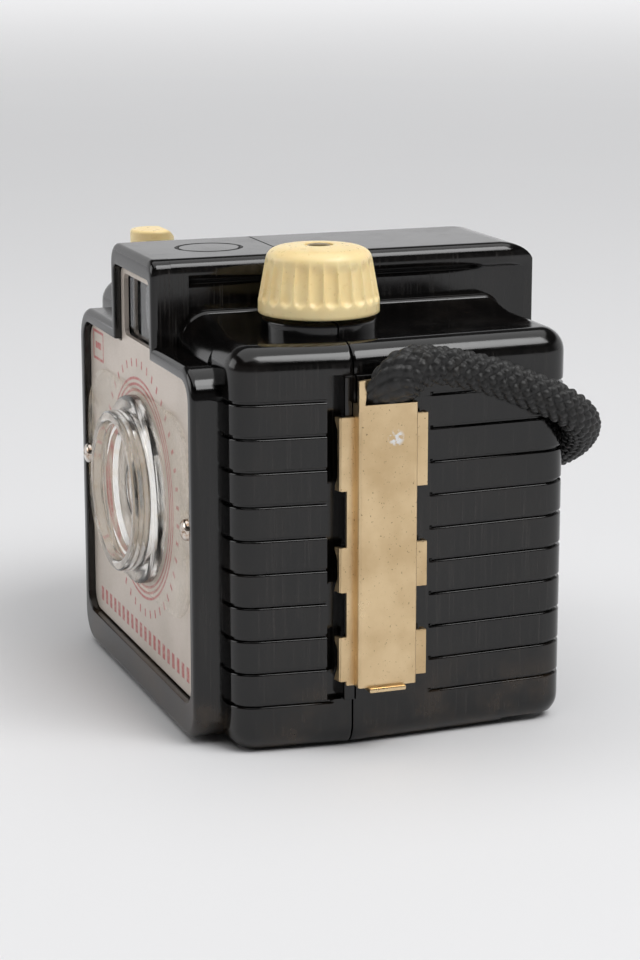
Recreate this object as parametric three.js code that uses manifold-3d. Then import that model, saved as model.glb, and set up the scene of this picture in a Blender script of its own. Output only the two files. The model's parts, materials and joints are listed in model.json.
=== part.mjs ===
// Roll-film box camera in millimetres, +Z up, +X on the winding-knob side, the lens looks along -Y.
// Two moulded half shells hold a film carrier, a simple rotary shutter and an eye-level viewfinder.
import * as THREE from 'three';
import { mergeVertices } from 'three/addons/utils/BufferGeometryUtils.js';
import Module from 'manifold-3d';

const wasm = await Module();
wasm.setup();

// ---------- driving dimensions; Y = 0 is the printed face of the faceplate ----------
const GAP = 0.3;                    // clearance between neighbouring pieces
const WALL = 3;                     // moulded wall thickness
const BODY_HEIGHT = 66.5;
const FRONT_HALF_WIDTH = 39.8;      // at the front of the body
const BODY_HALF_WIDTH = 42;         // at the parting line
const BACK_HALF_WIDTH = 40.1;       // at the back of the body
const BODY_FRONT = 3.6;
const PARTING = 23.1;
const BODY_BACK = 62;
const EDGE_RADIUS = 4;              // rounding of the top and bottom edges
const FRONT_CORNER = 4.5;
const BACK_CORNER = 5.5;
const RIB_COUNT = 10;
const RIB_PITCH = 5.5;
const RIB_LOWEST = 8.2;
const RIB_WIDTH = 0.9;
const RIB_DEPTH = 0.7;

const RIM_FRONT = -1.3;             // front of the bezel around the faceplate
const RIM_WIDTH = 2.4;
const BEZEL_HALF_WIDTH = 34.3;
const BEZEL_BOTTOM = 0.6;
const SHOULDER = 62.5;
const POCKET_FLOOR = 1.1;
const PLATE_THICKNESS = 0.8;
const HOUSING_HALF_WIDTH = 12.6;    // viewfinder housing along the middle of the top
const HOUSING_TOP = 76.8;
const HOUSING_BACK = 67.7;
const TUNNEL = { half: 9.2, low: 60.7, high: 74.4 };
const DECK = {
  reach: 28.5, edge: 14.6, shoulder: 67.95, flat: 13, top: 68.6, foot: 62,
  front: 3.1, back: 60.3, frontRoll: 5, backRoll: 3,
};

const LENS_Z = 35.8;                // height of the lens axis
const LENS_FRONT = -5.2;            // front of the clear lens cover
const SCREW_X = 30;
const KNOB = { x: 25.2, y: 23.3, low: 69.2, high: 80.2, radius: 9.9 };
const BUTTON = { x: -25.2, y: 10, low: 68.3, high: 76.9, radius: 3.9, slope: 2 };
const BUTTON_WELL = { outer: 6, inner: 5, floor: 65, rim: 69.6 };
const SPOOL = { low: 5.2, high: 57.3, flange: 9.25, core: 3.4 };
const CARRIER = { front: 12, back: 57.6, half: 36, low: 3.8, high: 58.7, sheet: 1.1 };
const GATE = { halfWidth: 32, halfHeight: 20 };
const CAVITY = { low: 3.5, high: 63.6, middleHigh: 59.2, front: 8, back: 59.2 };

const CATCH = { low: 11.3, high: 57.5, face: 46, sheet: 0.7, front: 22.5, back: 32.6 };
const CATCH_LUG = 61.7;
const RAIL = { front: 21.2, back: 33.6, low: 8.5, high: 61.8, face: 43 };
const CATCH_TABS = [[12, 19.5], [26.8, 34.3], [43.4, 55.4]];
const CORD_RADIUS = 2.9;
const CORD_END = { inner: 43.45, outer: 45.15, front: 24.4, back: 31.2, low: 49.6, high: 59.4 };

// limits of cuts that only have to reach past the body
const WIDE = 60;
const HIGH = 90;

const CARRIER_SCREWS = { upper: 52.6, lower: 10 };      // heights, on the middle line
const COLLAR_RADIUS = 9.6;
const FINDER_WINDOW = { half: 8.6, low: 61.2, high: 71.9 };
const EYEPIECE = { half: 5.6, low: 64.5, high: 71.6 };
const REAR_LENS_SEAT = { half: 7.5, front: 61.9, back: 65.2, low: 62.6, high: 73 };
const SHUTTER_ROOM = { half: 29, front: 3.6, low: 9, high: 56 };
const SPRING_WELL = { left: -29, right: -21.4, front: 5.2, floor: 52 };
const RED_WINDOW = { hole: 5, seat: 7.3, depth: 61 };
const REAR_FOOT = { front: 50.5, step: 1.3 };           // the underside steps up behind here

const MIDDLE_Y = (LENS_FRONT + HOUSING_BACK) / 2;

// ---------- materials ----------
const finish = (color, roughness, metalness, extra = {}) =>
  new THREE.MeshStandardMaterial({ color, roughness, metalness, ...extra });
const BAKELITE = finish('#1b1a19', 0.25, 0);
const INNER_BLACK = finish('#151515', 0.6, 0);
const CREAM = finish('#efe0b4', 0.35, 0);
const PRINTED_METAL = finish('#cfc9bd', 0.45, 0.3);
const CLEAR = finish('#e9e6dc', 0.08, 0, { transparent: true, opacity: 0.35 });
const GLASS = finish('#c9d2dc', 0.04, 0, { transparent: true, opacity: 0.5 });
const STEEL = finish('#b9b7b2', 0.3, 1);
const BRASS = finish('#b49a5e', 0.35, 1);
const CORD = finish('#191918', 0.85, 0);
const RED = finish('#8c1410', 0.1, 0, { transparent: true, opacity: 0.7 });

// ---------- solids ----------
// six times the volume inside the triangles: negative where they face inwards
function signedVolume(positions, triangles) {
  const [a, b, c] = [new THREE.Vector3(), new THREE.Vector3(), new THREE.Vector3()];
  let total = 0;
  for (let i = 0; i < triangles.length; i += 3) {
    a.fromArray(positions, 3 * triangles[i]);
    b.fromArray(positions, 3 * triangles[i + 1]);
    c.fromArray(positions, 3 * triangles[i + 2]);
    total += a.dot(b.cross(c));
  }
  return total;
}

function toSolid(geometry) {
  const bare = geometry.clone();
  bare.deleteAttribute('normal');
  bare.deleteAttribute('uv');
  const merged = mergeVertices(bare, 1e-4);
  const positions = new Float32Array(merged.attributes.position.array);
  const triangles = new Uint32Array(merged.index.array);
  if (signedVolume(positions, triangles) < 0) triangles.reverse();
  return new wasm.Manifold(new wasm.Mesh({ numProp: 3, vertProperties: positions, triVerts: triangles }));
}

function toGeometry(solid) {
  const mesh = solid.simplify(0.002).getMesh();
  const geometry = new THREE.BufferGeometry();
  geometry.setAttribute('position', new THREE.BufferAttribute(new Float32Array(mesh.vertProperties), 3));
  geometry.setIndex(new THREE.BufferAttribute(new Uint32Array(mesh.triVerts), 1));
  geometry.computeVertexNormals();
  return geometry;
}

const box = (x0, x1, y0, y1, z0, z1) => toSolid(
  new THREE.BoxGeometry(x1 - x0, y1 - y0, z1 - z0).translate((x0 + x1) / 2, (y0 + y1) / 2, (z0 + z1) / 2));

// upright cylinder about a vertical axis
const post = (x, y, z0, z1, radius, sides = 20) => toSolid(
  new THREE.CylinderGeometry(radius, radius, z1 - z0, sides)
    .rotateX(Math.PI / 2).translate(x, y, (z0 + z1) / 2));

// cylinder or cone along Y
const barrel = (x, z, y0, y1, radius, sides = 24, backRadius = radius) => toSolid(
  new THREE.CylinderGeometry(backRadius, radius, y1 - y0, sides).translate(x, (y0 + y1) / 2, z));

// outline in X and Y, extruded up from z0 to z1
function upright(shape, z0, z1, curveSegments = 5) {
  return toSolid(new THREE.ExtrudeGeometry(shape, { depth: z1 - z0, bevelEnabled: false, curveSegments })
    .translate(0, 0, z0));
}

// outline in X and Z, extruded back from y0 to y1
function frontal(shape, y0, y1, { bevel = 0, curveSegments = 4 } = {}) {
  const geometry = new THREE.ExtrudeGeometry(shape, {
    depth: y1 - y0 - 2 * bevel,
    bevelEnabled: bevel > 0,
    bevelThickness: bevel,
    bevelSize: bevel,
    bevelOffset: -bevel,
    bevelSegments: 2,
    curveSegments,
  });
  return toSolid(geometry.rotateX(Math.PI / 2).translate(0, y1 - bevel, 0));
}

// outline in Y and Z, extruded across from x0 to x1
function sideways(shape, x0, x1, curveSegments = 5) {
  const axes = new THREE.Matrix4().makeBasis(
    new THREE.Vector3(0, 1, 0), new THREE.Vector3(0, 0, 1), new THREE.Vector3(1, 0, 0));
  return toSolid(new THREE.ExtrudeGeometry(shape, { depth: x1 - x0, bevelEnabled: false, curveSegments })
    .applyMatrix4(axes).translate(x0, 0, 0));
}

// round part turned about a vertical axis from [radius, height] points
function turned(profile, x, y, sides = 20) {
  const points = profile.map(([radius, height]) => new THREE.Vector2(radius, height));
  return toSolid(new THREE.LatheGeometry(points, sides).rotateX(Math.PI / 2).translate(x, y, 0));
}

// round part turned about the lens axis from [radius, y] points
function turnedAlongY(profile, x, z, sides = 24) {
  const points = profile.map(([radius, y]) => new THREE.Vector2(radius, y));
  return toSolid(new THREE.LatheGeometry(points, sides).translate(x, 0, z));
}

const bothSides = (solid) => solid.add(solid.mirror([1, 0, 0]));

const parts = new THREE.Group();
parts.position.y = -MIDDLE_Y;
function add(name, solid, material) {
  const mesh = new THREE.Mesh(toGeometry(solid), material);
  mesh.name = name;
  parts.add(mesh);
}

// ---------- outlines ----------
function roundedRect(x0, x1, z0, z1, radius) {
  const shape = new THREE.Shape();
  shape.moveTo(x0 + radius, z0);
  shape.lineTo(x1 - radius, z0);
  shape.absarc(x1 - radius, z0 + radius, radius, -Math.PI / 2, 0);
  shape.absarc(x1 - radius, z1 - radius, radius, 0, Math.PI / 2);
  shape.absarc(x0 + radius, z1 - radius, radius, Math.PI / 2, Math.PI);
  shape.absarc(x0 + radius, z0 + radius, radius, Math.PI, 1.5 * Math.PI);
  return shape;
}

// the body seen from above: widest at the parting line, with drafted sides and rounded corners
function bodyOutline(inset = 0) {
  const front = FRONT_HALF_WIDTH - inset;
  const middle = BODY_HALF_WIDTH - inset;
  const back = BACK_HALF_WIDTH - inset;
  const y0 = BODY_FRONT + inset;
  const y1 = BODY_BACK - inset;
  const frontCorner = FRONT_CORNER - inset / 2;
  const backCorner = BACK_CORNER - inset / 2;
  const shape = new THREE.Shape();
  shape.moveTo(front - frontCorner, y0);
  shape.quadraticCurveTo(front, y0, front + 0.12 * frontCorner, y0 + frontCorner);
  shape.lineTo(middle, PARTING);
  shape.lineTo(back + 0.05 * backCorner, y1 - backCorner);
  shape.quadraticCurveTo(back, y1, back - backCorner, y1);
  shape.lineTo(backCorner - back, y1);
  shape.quadraticCurveTo(-back, y1, -back - 0.05 * backCorner, y1 - backCorner);
  shape.lineTo(-middle, PARTING);
  shape.lineTo(-front - 0.12 * frontCorner, y0 + frontCorner);
  shape.quadraticCurveTo(-front, y0, frontCorner - front, y0);
  return shape;
}

// the stepped front: wide below the shoulders, narrow in front of the viewfinder
function frontOutline(inset, corner) {
  const wide = BEZEL_HALF_WIDTH - inset;
  const narrow = HOUSING_HALF_WIDTH - inset * 0.75;
  const low = BEZEL_BOTTOM + (inset > 0 ? inset + 3.4 : 0);
  const shoulder = SHOULDER - inset;
  const top = HOUSING_TOP - inset * 1.5;
  const topCorner = corner / 2;
  const shape = new THREE.Shape();
  shape.moveTo(-wide + corner, low);
  shape.lineTo(wide - corner, low);
  shape.absarc(wide - corner, low + corner, corner, -Math.PI / 2, 0);
  shape.absarc(wide - corner, shoulder - corner, corner, 0, Math.PI / 2);
  shape.lineTo(narrow, shoulder);
  shape.lineTo(narrow, top - topCorner);
  shape.quadraticCurveTo(narrow, top, narrow - topCorner, top);
  shape.lineTo(topCorner - narrow, top);
  shape.quadraticCurveTo(-narrow, top, -narrow, top - topCorner);
  shape.lineTo(-narrow, shoulder);
  shape.absarc(-wide + corner, shoulder - corner, corner, Math.PI / 2, Math.PI);
  shape.absarc(-wide + corner, low + corner, corner, Math.PI, 1.5 * Math.PI);
  return shape;
}

// ---------- the two half shells ----------
function bodyBlock() {
  const geometry = new THREE.ExtrudeGeometry(bodyOutline(), {
    depth: BODY_HEIGHT - 2 * EDGE_RADIUS,
    bevelEnabled: true,
    bevelThickness: EDGE_RADIUS,
    bevelSize: EDGE_RADIUS,
    bevelOffset: -EDGE_RADIUS,
    bevelSegments: 3,
    curveSegments: 3,
  });
  return toSolid(geometry.translate(0, 0, EDGE_RADIUS));
}

// the raised middle of the top: hollow-curved sides, rolled down at both ends
function deckBlock() {
  const { reach, edge, shoulder, flat, front, back, top, foot, frontRoll, backRoll } = DECK;
  const hollow = (reach + edge) / 2;
  const section = new THREE.Shape();
  section.moveTo(-reach, foot);
  section.lineTo(reach, foot);
  section.lineTo(reach, BODY_HEIGHT);
  section.quadraticCurveTo(hollow, BODY_HEIGHT, edge, shoulder);
  section.lineTo(flat, top);
  section.lineTo(-flat, top);
  section.lineTo(-edge, shoulder);
  section.quadraticCurveTo(-hollow, BODY_HEIGHT, -reach, BODY_HEIGHT);
  const profile = new THREE.Shape();
  profile.moveTo(front, foot);
  profile.lineTo(back, foot);
  profile.lineTo(back, top - backRoll);
  profile.quadraticCurveTo(back, top, back - backRoll, top);
  profile.lineTo(front + frontRoll, top);
  profile.quadraticCurveTo(front, top, front, top - frontRoll);
  return frontal(section, front, back).intersect(sideways(profile, -reach - 1, reach + 1));
}

// the viewfinder housing: a rounded band along its top edge stands out over a recessed wall
function housingBlock() {
  const wide = HOUSING_HALF_WIDTH;
  const recessed = wide - 1.4;
  const section = new THREE.Shape();
  section.moveTo(-recessed, SHOULDER - 3);
  section.lineTo(recessed, SHOULDER - 3);
  section.lineTo(recessed, HOUSING_TOP - 4);
  section.quadraticCurveTo(wide, HOUSING_TOP - 4, wide, HOUSING_TOP - 2.5);
  section.quadraticCurveTo(wide, HOUSING_TOP, wide - 1.6, HOUSING_TOP);
  section.lineTo(1.6 - wide, HOUSING_TOP);
  section.quadraticCurveTo(-wide, HOUSING_TOP, -wide, HOUSING_TOP - 2.5);
  section.quadraticCurveTo(-wide, HOUSING_TOP - 4, -recessed, HOUSING_TOP - 4);
  const profile = new THREE.Shape();
  profile.moveTo(0, SHOULDER - 3);
  profile.lineTo(HOUSING_BACK, SHOULDER - 3);
  profile.lineTo(HOUSING_BACK, HOUSING_TOP - 5.5);
  profile.quadraticCurveTo(HOUSING_BACK, HOUSING_TOP, HOUSING_BACK - 6, HOUSING_TOP);
  profile.lineTo(0, HOUSING_TOP);
  return frontal(section, 0, HOUSING_BACK, { curveSegments: 4 }).intersect(sideways(profile, -20, 20));
}

// horizontal grooves round the sides, interrupted at the catches and at the plain middle of the back
function ribGrooves() {
  const ring = bodyOutline(-2);
  ring.holes.push(bodyOutline(RIB_DEPTH));
  let grooves = null;
  for (let i = 0; i < RIB_COUNT; i++) {
    const z = RIB_LOWEST + i * RIB_PITCH;
    const groove = upright(ring, z - RIB_WIDTH / 2, z + RIB_WIDTH / 2, 4);
    grooves = grooves ? grooves.add(groove) : groove;
  }
  const sides = bothSides(box(30, 50, 0, 18, 0, 70).add(box(31, 50, 37, 70, 0, 70)));
  return grooves.intersect(sides);
}

function catchRails() {
  const rail = box(BACK_HALF_WIDTH - 2, RAIL.face, RAIL.front, RAIL.back, RAIL.low, RAIL.high);
  return bothSides(rail);
}

function filmCavity() {
  const outline = bodyOutline(WALL);
  const depth = box(-50, 50, CAVITY.front, CAVITY.back, CAVITY.low, CAVITY.high);
  const low = upright(outline, CAVITY.low, CAVITY.middleHigh, 4);
  const high = upright(outline, CAVITY.middleHigh - 0.01, CAVITY.high, 4)
    .subtract(box(-TUNNEL.half - 4.3, TUNNEL.half + 4.3, 0, WIDE, 0, HIGH));
  return low.add(high).intersect(depth);
}

function viewfinderTunnel() {
  const main = box(-TUNNEL.half, TUNNEL.half, 0, 62, TUNNEL.low, TUNNEL.high);
  const { half, front, back, low, high } = REAR_LENS_SEAT;
  const eyepiece = box(-EYEPIECE.half, EYEPIECE.half, front, HIGH, EYEPIECE.low, EYEPIECE.high);
  return main.add(box(-half, half, front, back, low, high)).add(eyepiece);
}

function completeShell() {
  const bezel = frontal(frontOutline(0, 4.5), RIM_FRONT, BODY_FRONT + 1, { bevel: 1.1 });
  const pocket = frontal(frontOutline(RIM_WIDTH, 3), RIM_FRONT - 1, POCKET_FLOOR);
  const { half, front, low, high } = SHUTTER_ROOM;
  const shutterRoom = box(-half, half, front, CAVITY.front + 0.5, low, high);
  return bodyBlock().add(deckBlock()).add(housingBlock()).add(bezel).add(catchRails())
    .subtract(ribGrooves())
    .subtract(pocket).subtract(filmCavity()).subtract(shutterRoom).subtract(viewfinderTunnel())
    .add(post(KNOB.x, KNOB.y, BODY_HEIGHT - 2.5, KNOB.low - 0.6, COLLAR_RADIUS, 24))
    .add(post(BUTTON.x, BUTTON.y, BODY_HEIGHT - 2.5, BUTTON_WELL.rim, BUTTON_WELL.outer))
    .subtract(post(BUTTON.x, BUTTON.y, BUTTON_WELL.floor, HIGH, BUTTON_WELL.inner))
    .subtract(post(KNOB.x, KNOB.y, 55, HIGH, 2.6))
    .subtract(post(BUTTON.x, BUTTON.y, 55, HIGH, 2))
    .subtract(box(-WIDE, WIDE, REAR_FOOT.front, HIGH, -1, REAR_FOOT.step));
}

function frontShell(shell) {
  const half = shell.intersect(box(-WIDE, WIDE, -20, PARTING - GAP / 2, -5, HIGH));
  const lensBoss = barrel(0, LENS_Z, 3, 6, 8.6, 24);
  const [plateBossA, plateBossB] = PLATE_SCREWS.map(({ x, z }) => barrel(x, z, 3, 6.8, 3, 16));
  const carrierBosses = barrel(0, CARRIER_SCREWS.upper, 3, CARRIER.front - GAP, 3.2, 16)
    .add(barrel(0, CARRIER_SCREWS.lower, 3, CARRIER.front - GAP, 3.2, 16));
  const { left, right, front, floor } = SPRING_WELL;
  const springShelf = box(left - 1, right + 1, 3, 13, floor - 2, floor);
  const springWell = box(left, right, front, CAVITY.front + 1, floor, CAVITY.high);
  const lip = upright(bodyOutline(WALL + GAP), CAVITY.low + GAP, CAVITY.middleHigh - GAP, 4)
    .subtract(upright(bodyOutline(WALL + GAP + 1.1), 0, HIGH, 4))
    .intersect(box(-WIDE, WIDE, PARTING - 4, PARTING + 2.5, 0, HIGH));
  const lipRoot = upright(bodyOutline(WALL - 0.5), CAVITY.low, CAVITY.middleHigh - GAP, 4)
    .subtract(upright(bodyOutline(WALL + GAP + 1.1), 0, HIGH, 4))
    .intersect(box(-WIDE, WIDE, PARTING - 4, PARTING - 1, 0, HIGH));
  const lensHole = barrel(0, LENS_Z, 0, 9, 5.3, 24);
  const apertureSeat = barrel(0, LENS_Z, 5, 9, 6.8, 24);
  const screwHoles = bothSides(barrel(SCREW_X, LENS_Z, 0, 3.4, 1.25, 12));
  const [plateHoleA, plateHoleB] = PLATE_SCREWS.map(({ x, z }) => barrel(x, z, 3.8, 9, 1.2, 12));
  const carrierScrewHoles = barrel(0, CARRIER_SCREWS.upper, 7, 15, 1.2, 12)
    .add(barrel(0, CARRIER_SCREWS.lower, 7, 15, 1.2, 12));
  const catchGroove = bothSides(box(BACK_HALF_WIDTH + 0.1, WIDE, 18.8, RAIL.front, RAIL.low, RAIL.high));
  return half.add(lensBoss).add(plateBossA).add(plateBossB).add(carrierBosses).add(springShelf)
    .add(lip).add(lipRoot)
    .subtract(lensHole).subtract(apertureSeat).subtract(screwHoles)
    .subtract(plateHoleA).subtract(plateHoleB).subtract(carrierScrewHoles).subtract(catchGroove)
    .subtract(post(BUTTON.x, BUTTON.y, 45, 60, 2)).subtract(springWell);
}

function backShell(shell) {
  const half = shell.intersect(box(-WIDE, WIDE, PARTING + GAP / 2, HIGH, -5, HIGH));
  const windowHole = barrel(0, LENS_Z, CAVITY.back - 4, HIGH, RED_WINDOW.hole, 24)
    .add(barrel(0, LENS_Z, RED_WINDOW.depth, HIGH, RED_WINDOW.seat, 24));
  return half.subtract(windowHole);
}

// ---------- front: plate, clear lens cover, screws and viewfinder glass ----------
function faceplate() {
  return frontal(frontOutline(RIM_WIDTH + GAP, 2.8), 0, PLATE_THICKNESS)
    .subtract(barrel(0, LENS_Z, -1, 2, 5.6))
    .subtract(bothSides(barrel(SCREW_X, LENS_Z, -1, 2, 1.3, 12)))
    .subtract(box(-FINDER_WINDOW.half, FINDER_WINDOW.half, -1, 2, FINDER_WINDOW.low, FINDER_WINDOW.high));
}

// flange with rounded ends and a stepped cup in its middle, one clear moulding
const COVER_FLANGE = { halfWidth: 31.6, halfHeight: 17.2, corner: 12, face: -0.85 };
function lensCover() {
  const { halfWidth, halfHeight, corner, face } = COVER_FLANGE;
  const outline = roundedRect(-halfWidth, halfWidth, LENS_Z - halfHeight, LENS_Z + halfHeight, corner);
  const flange = frontal(outline, face, -GAP, { curveSegments: 6 });
  const cup = turnedAlongY([
    [5, -GAP], [16.2, -GAP], [16.2, -1.7], [15.6, -2.3], [13.8, -2.4], [13.8, LENS_FRONT + 0.4],
    [13.4, LENS_FRONT], [12.4, LENS_FRONT], [11.9, LENS_FRONT + 0.5], [11.5, -3.6], [11.1, -3.5],
    [10.8, -2.4], [10.5, -2.3], [10.3, -1.2], [5.4, -1.2], [5, -GAP],
  ], 0, LENS_Z, 32);
  const bore = barrel(0, LENS_Z, -3, 1, 14, 32);
  return flange.subtract(bore).add(cup).subtract(bothSides(barrel(SCREW_X, LENS_Z, -3, 1, 1.3, 12)));
}

// screw along Y: domed head in front of headBack, shank behind it
function screw(x, z, headFront, headBack, tip, headRadius, shankRadius) {
  const dome = (headBack - headFront) * 0.4;
  const blank = turnedAlongY([
    [0, headFront], [headRadius * 0.7, headFront + dome * 0.3], [headRadius, headFront + dome],
    [headRadius, headBack], [shankRadius, headBack], [shankRadius, tip - 0.5], [0, tip],
  ], x, z, 20);
  const slot = box(x - headRadius, x + headRadius, headFront - 1, headFront + dome + 0.1, z - 0.3, z + 0.3);
  return blank.subtract(slot);
}

function screwFacingBack(x, z, headBack, headFront, tip, headRadius, shankRadius) {
  return screw(x, z, -headBack, -headFront, -tip, headRadius, shankRadius).mirror([0, 1, 0]);
}

const lensElement = () => turnedAlongY([
  [0, 1.6], [2.6, 1.75], [5, 2.2], [5, 3.6], [2.6, 3.9], [0, 4],
], 0, LENS_Z, 24);

const retainingRing = () => turnedAlongY([
  [3.6, 4.4], [5, 4.4], [5, 4.9], [3.6, 4.9], [3.6, 4.4],
], 0, LENS_Z, 24);

const aperturePlate = () => barrel(0, LENS_Z, 5.3, 5.8, 6.5, 24)
  .subtract(barrel(0, LENS_Z, 5, 6.5, 2.6, 24));

const viewfinderFrontLens = () => box(-8.9, 8.9, POCKET_FLOOR + 0.1, POCKET_FLOOR + 1.8, 61, 72.1)
  .subtract(toSolid(new THREE.SphereGeometry(24, 32, 20).translate(0, POCKET_FLOOR + 25, 66.5)));

const viewfinderRearLens = () => box(-7.2, 7.2, 62.4, 64.6, 62.9, 72.7);

// ---------- shutter ----------
const SHUTTER_PIVOT = { x: 7.5, z: LENS_Z - 8.8 };
const PLATE_SCREWS = [{ x: 19.5, z: LENS_Z + 9.5 }, { x: -19.5, z: LENS_Z - 12 }];
const LEVER_PIVOT = { x: -12, z: LENS_Z + 8.4 };

function shutterPlate() {
  return frontal(roundedRect(-23, 23, LENS_Z - 17, LENS_Z + 13, 3), 7.1, 7.9)
    .subtract(barrel(0, LENS_Z, 6, 9, 3.2, 24))
    .subtract(barrel(PLATE_SCREWS[0].x, PLATE_SCREWS[0].z, 6, 9, 1.3, 12))
    .subtract(barrel(PLATE_SCREWS[1].x, PLATE_SCREWS[1].z, 6, 9, 1.3, 12))
    .subtract(barrel(SHUTTER_PIVOT.x, SHUTTER_PIVOT.z, 6, 9, 1.3, 12))
    .subtract(barrel(LEVER_PIVOT.x, LEVER_PIVOT.z, 6, 9, 1.3, 12));
}

const pivotPin = (at) => turnedAlongY([
  [0, 6.5], [2, 6.5], [2, 6.8], [1, 6.8], [1, 11], [0, 11],
], at.x, at.z, 16);

// one round hole, which crosses the lens half way through the swing
const EXPOSURE_LEAD = (33 * Math.PI) / 180;
function shutterDisc() {
  const reach = Math.hypot(SHUTTER_PIVOT.x, LENS_Z - SHUTTER_PIVOT.z);
  const angle = Math.atan2(LENS_Z - SHUTTER_PIVOT.z, -SHUTTER_PIVOT.x) - EXPOSURE_LEAD;
  const holeX = SHUTTER_PIVOT.x + reach * Math.cos(angle);
  const holeZ = SHUTTER_PIVOT.z + reach * Math.sin(angle);
  return barrel(SHUTTER_PIVOT.x, SHUTTER_PIVOT.z, 8.3, 8.8, 15, 28)
    .subtract(barrel(SHUTTER_PIVOT.x, SHUTTER_PIVOT.z, 8, 9, 1.3, 12))
    .subtract(barrel(holeX, holeZ, 8, 9, 2.8, 20))
    .subtract(box(-10, 8, 8, 9, 8, SHUTTER_PIVOT.z - 4));
}

// a bell crank: the long arm lies under the button's stem, the short arm pushes the disc round
function releaseLever() {
  const { x, z } = LEVER_PIVOT;
  const arm = new THREE.Shape();
  arm.moveTo(x - 16, z + 1.6);
  arm.lineTo(x - 16, z - 0.6);
  arm.lineTo(x - 2.4, z - 2.6);
  arm.lineTo(x - 3, z - 11);
  arm.lineTo(x - 0.6, z - 11);
  arm.lineTo(x + 2.6, z - 1.4);
  arm.lineTo(x + 1.8, z + 2.4);
  arm.lineTo(x - 2, z + 2.4);
  return frontal(arm, 9.2, 10).subtract(barrel(x, z, 8, 11, 1.3, 12));
}

// hairpin return spring of round wire, its ends bent in beside the lever
function shutterSpring() {
  const path = new THREE.CatmullRomCurve3([
    [-3, 10.6, 49], [-5, 10.7, 50.5], [-8, 10.7, 50.5], [-10, 10.7, 48.6], [-7.5, 10.7, 47.4],
    [-3, 10.7, 46.6], [2, 10.7, 45.4], [7, 10.7, 43],
  ].map((p) => new THREE.Vector3(...p)));
  return tube(path, 0.35, 18, 6);
}

function tube(path, radius, steps, sides) {
  const section = new THREE.Shape(Array.from({ length: sides }, (_, i) => {
    const angle = (2 * Math.PI * i) / sides;
    return new THREE.Vector2(radius * Math.cos(angle), radius * Math.sin(angle));
  }));
  return toSolid(new THREE.ExtrudeGeometry(section, { extrudePath: path, steps, bevelEnabled: false }));
}

// ---------- shutter button ----------
const BUTTON_COLLAR = { low: 61, high: 62 };
function shutterButton() {
  const { x, y, low, high, radius, slope } = BUTTON;
  const cap = turned([
    [0, 46.9], [1.6, 46.9], [1.6, BUTTON_COLLAR.low], [3.4, BUTTON_COLLAR.low], [3.4, BUTTON_COLLAR.high],
    [1.6, BUTTON_COLLAR.high], [1.6, low], [radius, low], [radius, high - 0.4], [radius - 0.4, high],
    [0, high],
  ], x, y, 20);
  const wedge = new THREE.Shape();
  wedge.moveTo(y + slope, high + 0.01);
  wedge.lineTo(y + slope + 4, high - 4);
  wedge.lineTo(y + slope + 4, high + 1);
  wedge.lineTo(y + slope, high + 1);
  return cap.subtract(sideways(wedge, x - 6, x + 6));
}

function buttonSpring() {
  const turns = 4;
  const low = 52.7;
  const high = BUTTON_COLLAR.low - 0.7;
  const points = [];
  for (let i = 0; i <= turns * 8; i++) {
    const angle = (2 * Math.PI * i) / 8;
    const height = low + ((high - low) * i) / (turns * 8);
    const x = BUTTON.x + 2.6 * Math.cos(angle);
    const y = BUTTON.y + 2.6 * Math.sin(angle);
    points.push(new THREE.Vector3(x, y, height));
  }
  return tube(new THREE.CatmullRomCurve3(points), 0.3, turns * 9, 5);
}

// ---------- film carrier: light cone, gate, rollers and spools ----------
function frustum(y0, y1, x0, z0, x1, z1) {
  const cone = new THREE.CylinderGeometry(1, 1, 1, 4, 1).rotateY(Math.PI / 4);
  const position = cone.attributes.position;
  for (let i = 0; i < position.count; i++) {
    const back = position.getY(i) > 0;
    const halfX = back ? x1 : x0;
    const halfZ = back ? z1 : z0;
    position.setXYZ(i,
      Math.sign(Math.round(position.getX(i) * 10)) * halfX,
      back ? y1 : y0,
      LENS_Z + Math.sign(Math.round(position.getZ(i) * 10)) * halfZ);
  }
  return toSolid(cone);
}

function filmCarrier() {
  const { front, back, half, low, high, sheet } = CARRIER;
  const cone = frustum(front + 0.5, back - 0.6, 6, 6, GATE.halfWidth + sheet, GATE.halfHeight + sheet)
    .add(box(-15, 15, front, front + sheet, low, high))
    .add(box(-half, half, back - 1.3, back, LENS_Z - 22, LENS_Z + 22))
    .add(box(-half, half, front + 1.5, back, low, low + 1)).add(box(-15, 15, front, back, low, low + 1))
    .add(box(-half, half, front + 1.5, back, high - 1, high)).add(box(-15, 15, front, back, high - 1, high))
    .add(bothSides(box(half - 6, half, back - 5, back, low, low + 5)))
    .add(bothSides(box(half - 6, half, back - 5, back, high - 5, high)));
  const light = frustum(front - 0.2, back + 0.2, 4.6, 4.6, GATE.halfWidth, GATE.halfHeight);
  const rollerSeats = bothSides(post(ROLLER.x, ROLLER.y, low + 2, high - 2, ROLLER.radius + 0.5, 16));
  return cone.subtract(light)
    .subtract(rollerSeats)
    .subtract(bothSides(post(ROLLER.x, ROLLER.y, low + 0.3, high - 0.3, 1, 12)))
    .subtract(post(KNOB.x, KNOB.y, high - 3, high + 1, 2.5))
    .subtract(post(-KNOB.x, KNOB.y, high - 3, high + 1, 1.5, 16))
    .subtract(bothSides(post(KNOB.x, KNOB.y, low - 1, low + 3, 1.5, 16)))
    .subtract(barrel(0, CARRIER_SCREWS.upper, front - 1, front + 3, 1.4, 12))
    .subtract(barrel(0, CARRIER_SCREWS.lower, front - 1, front + 3, 1.4, 12));
}

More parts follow.
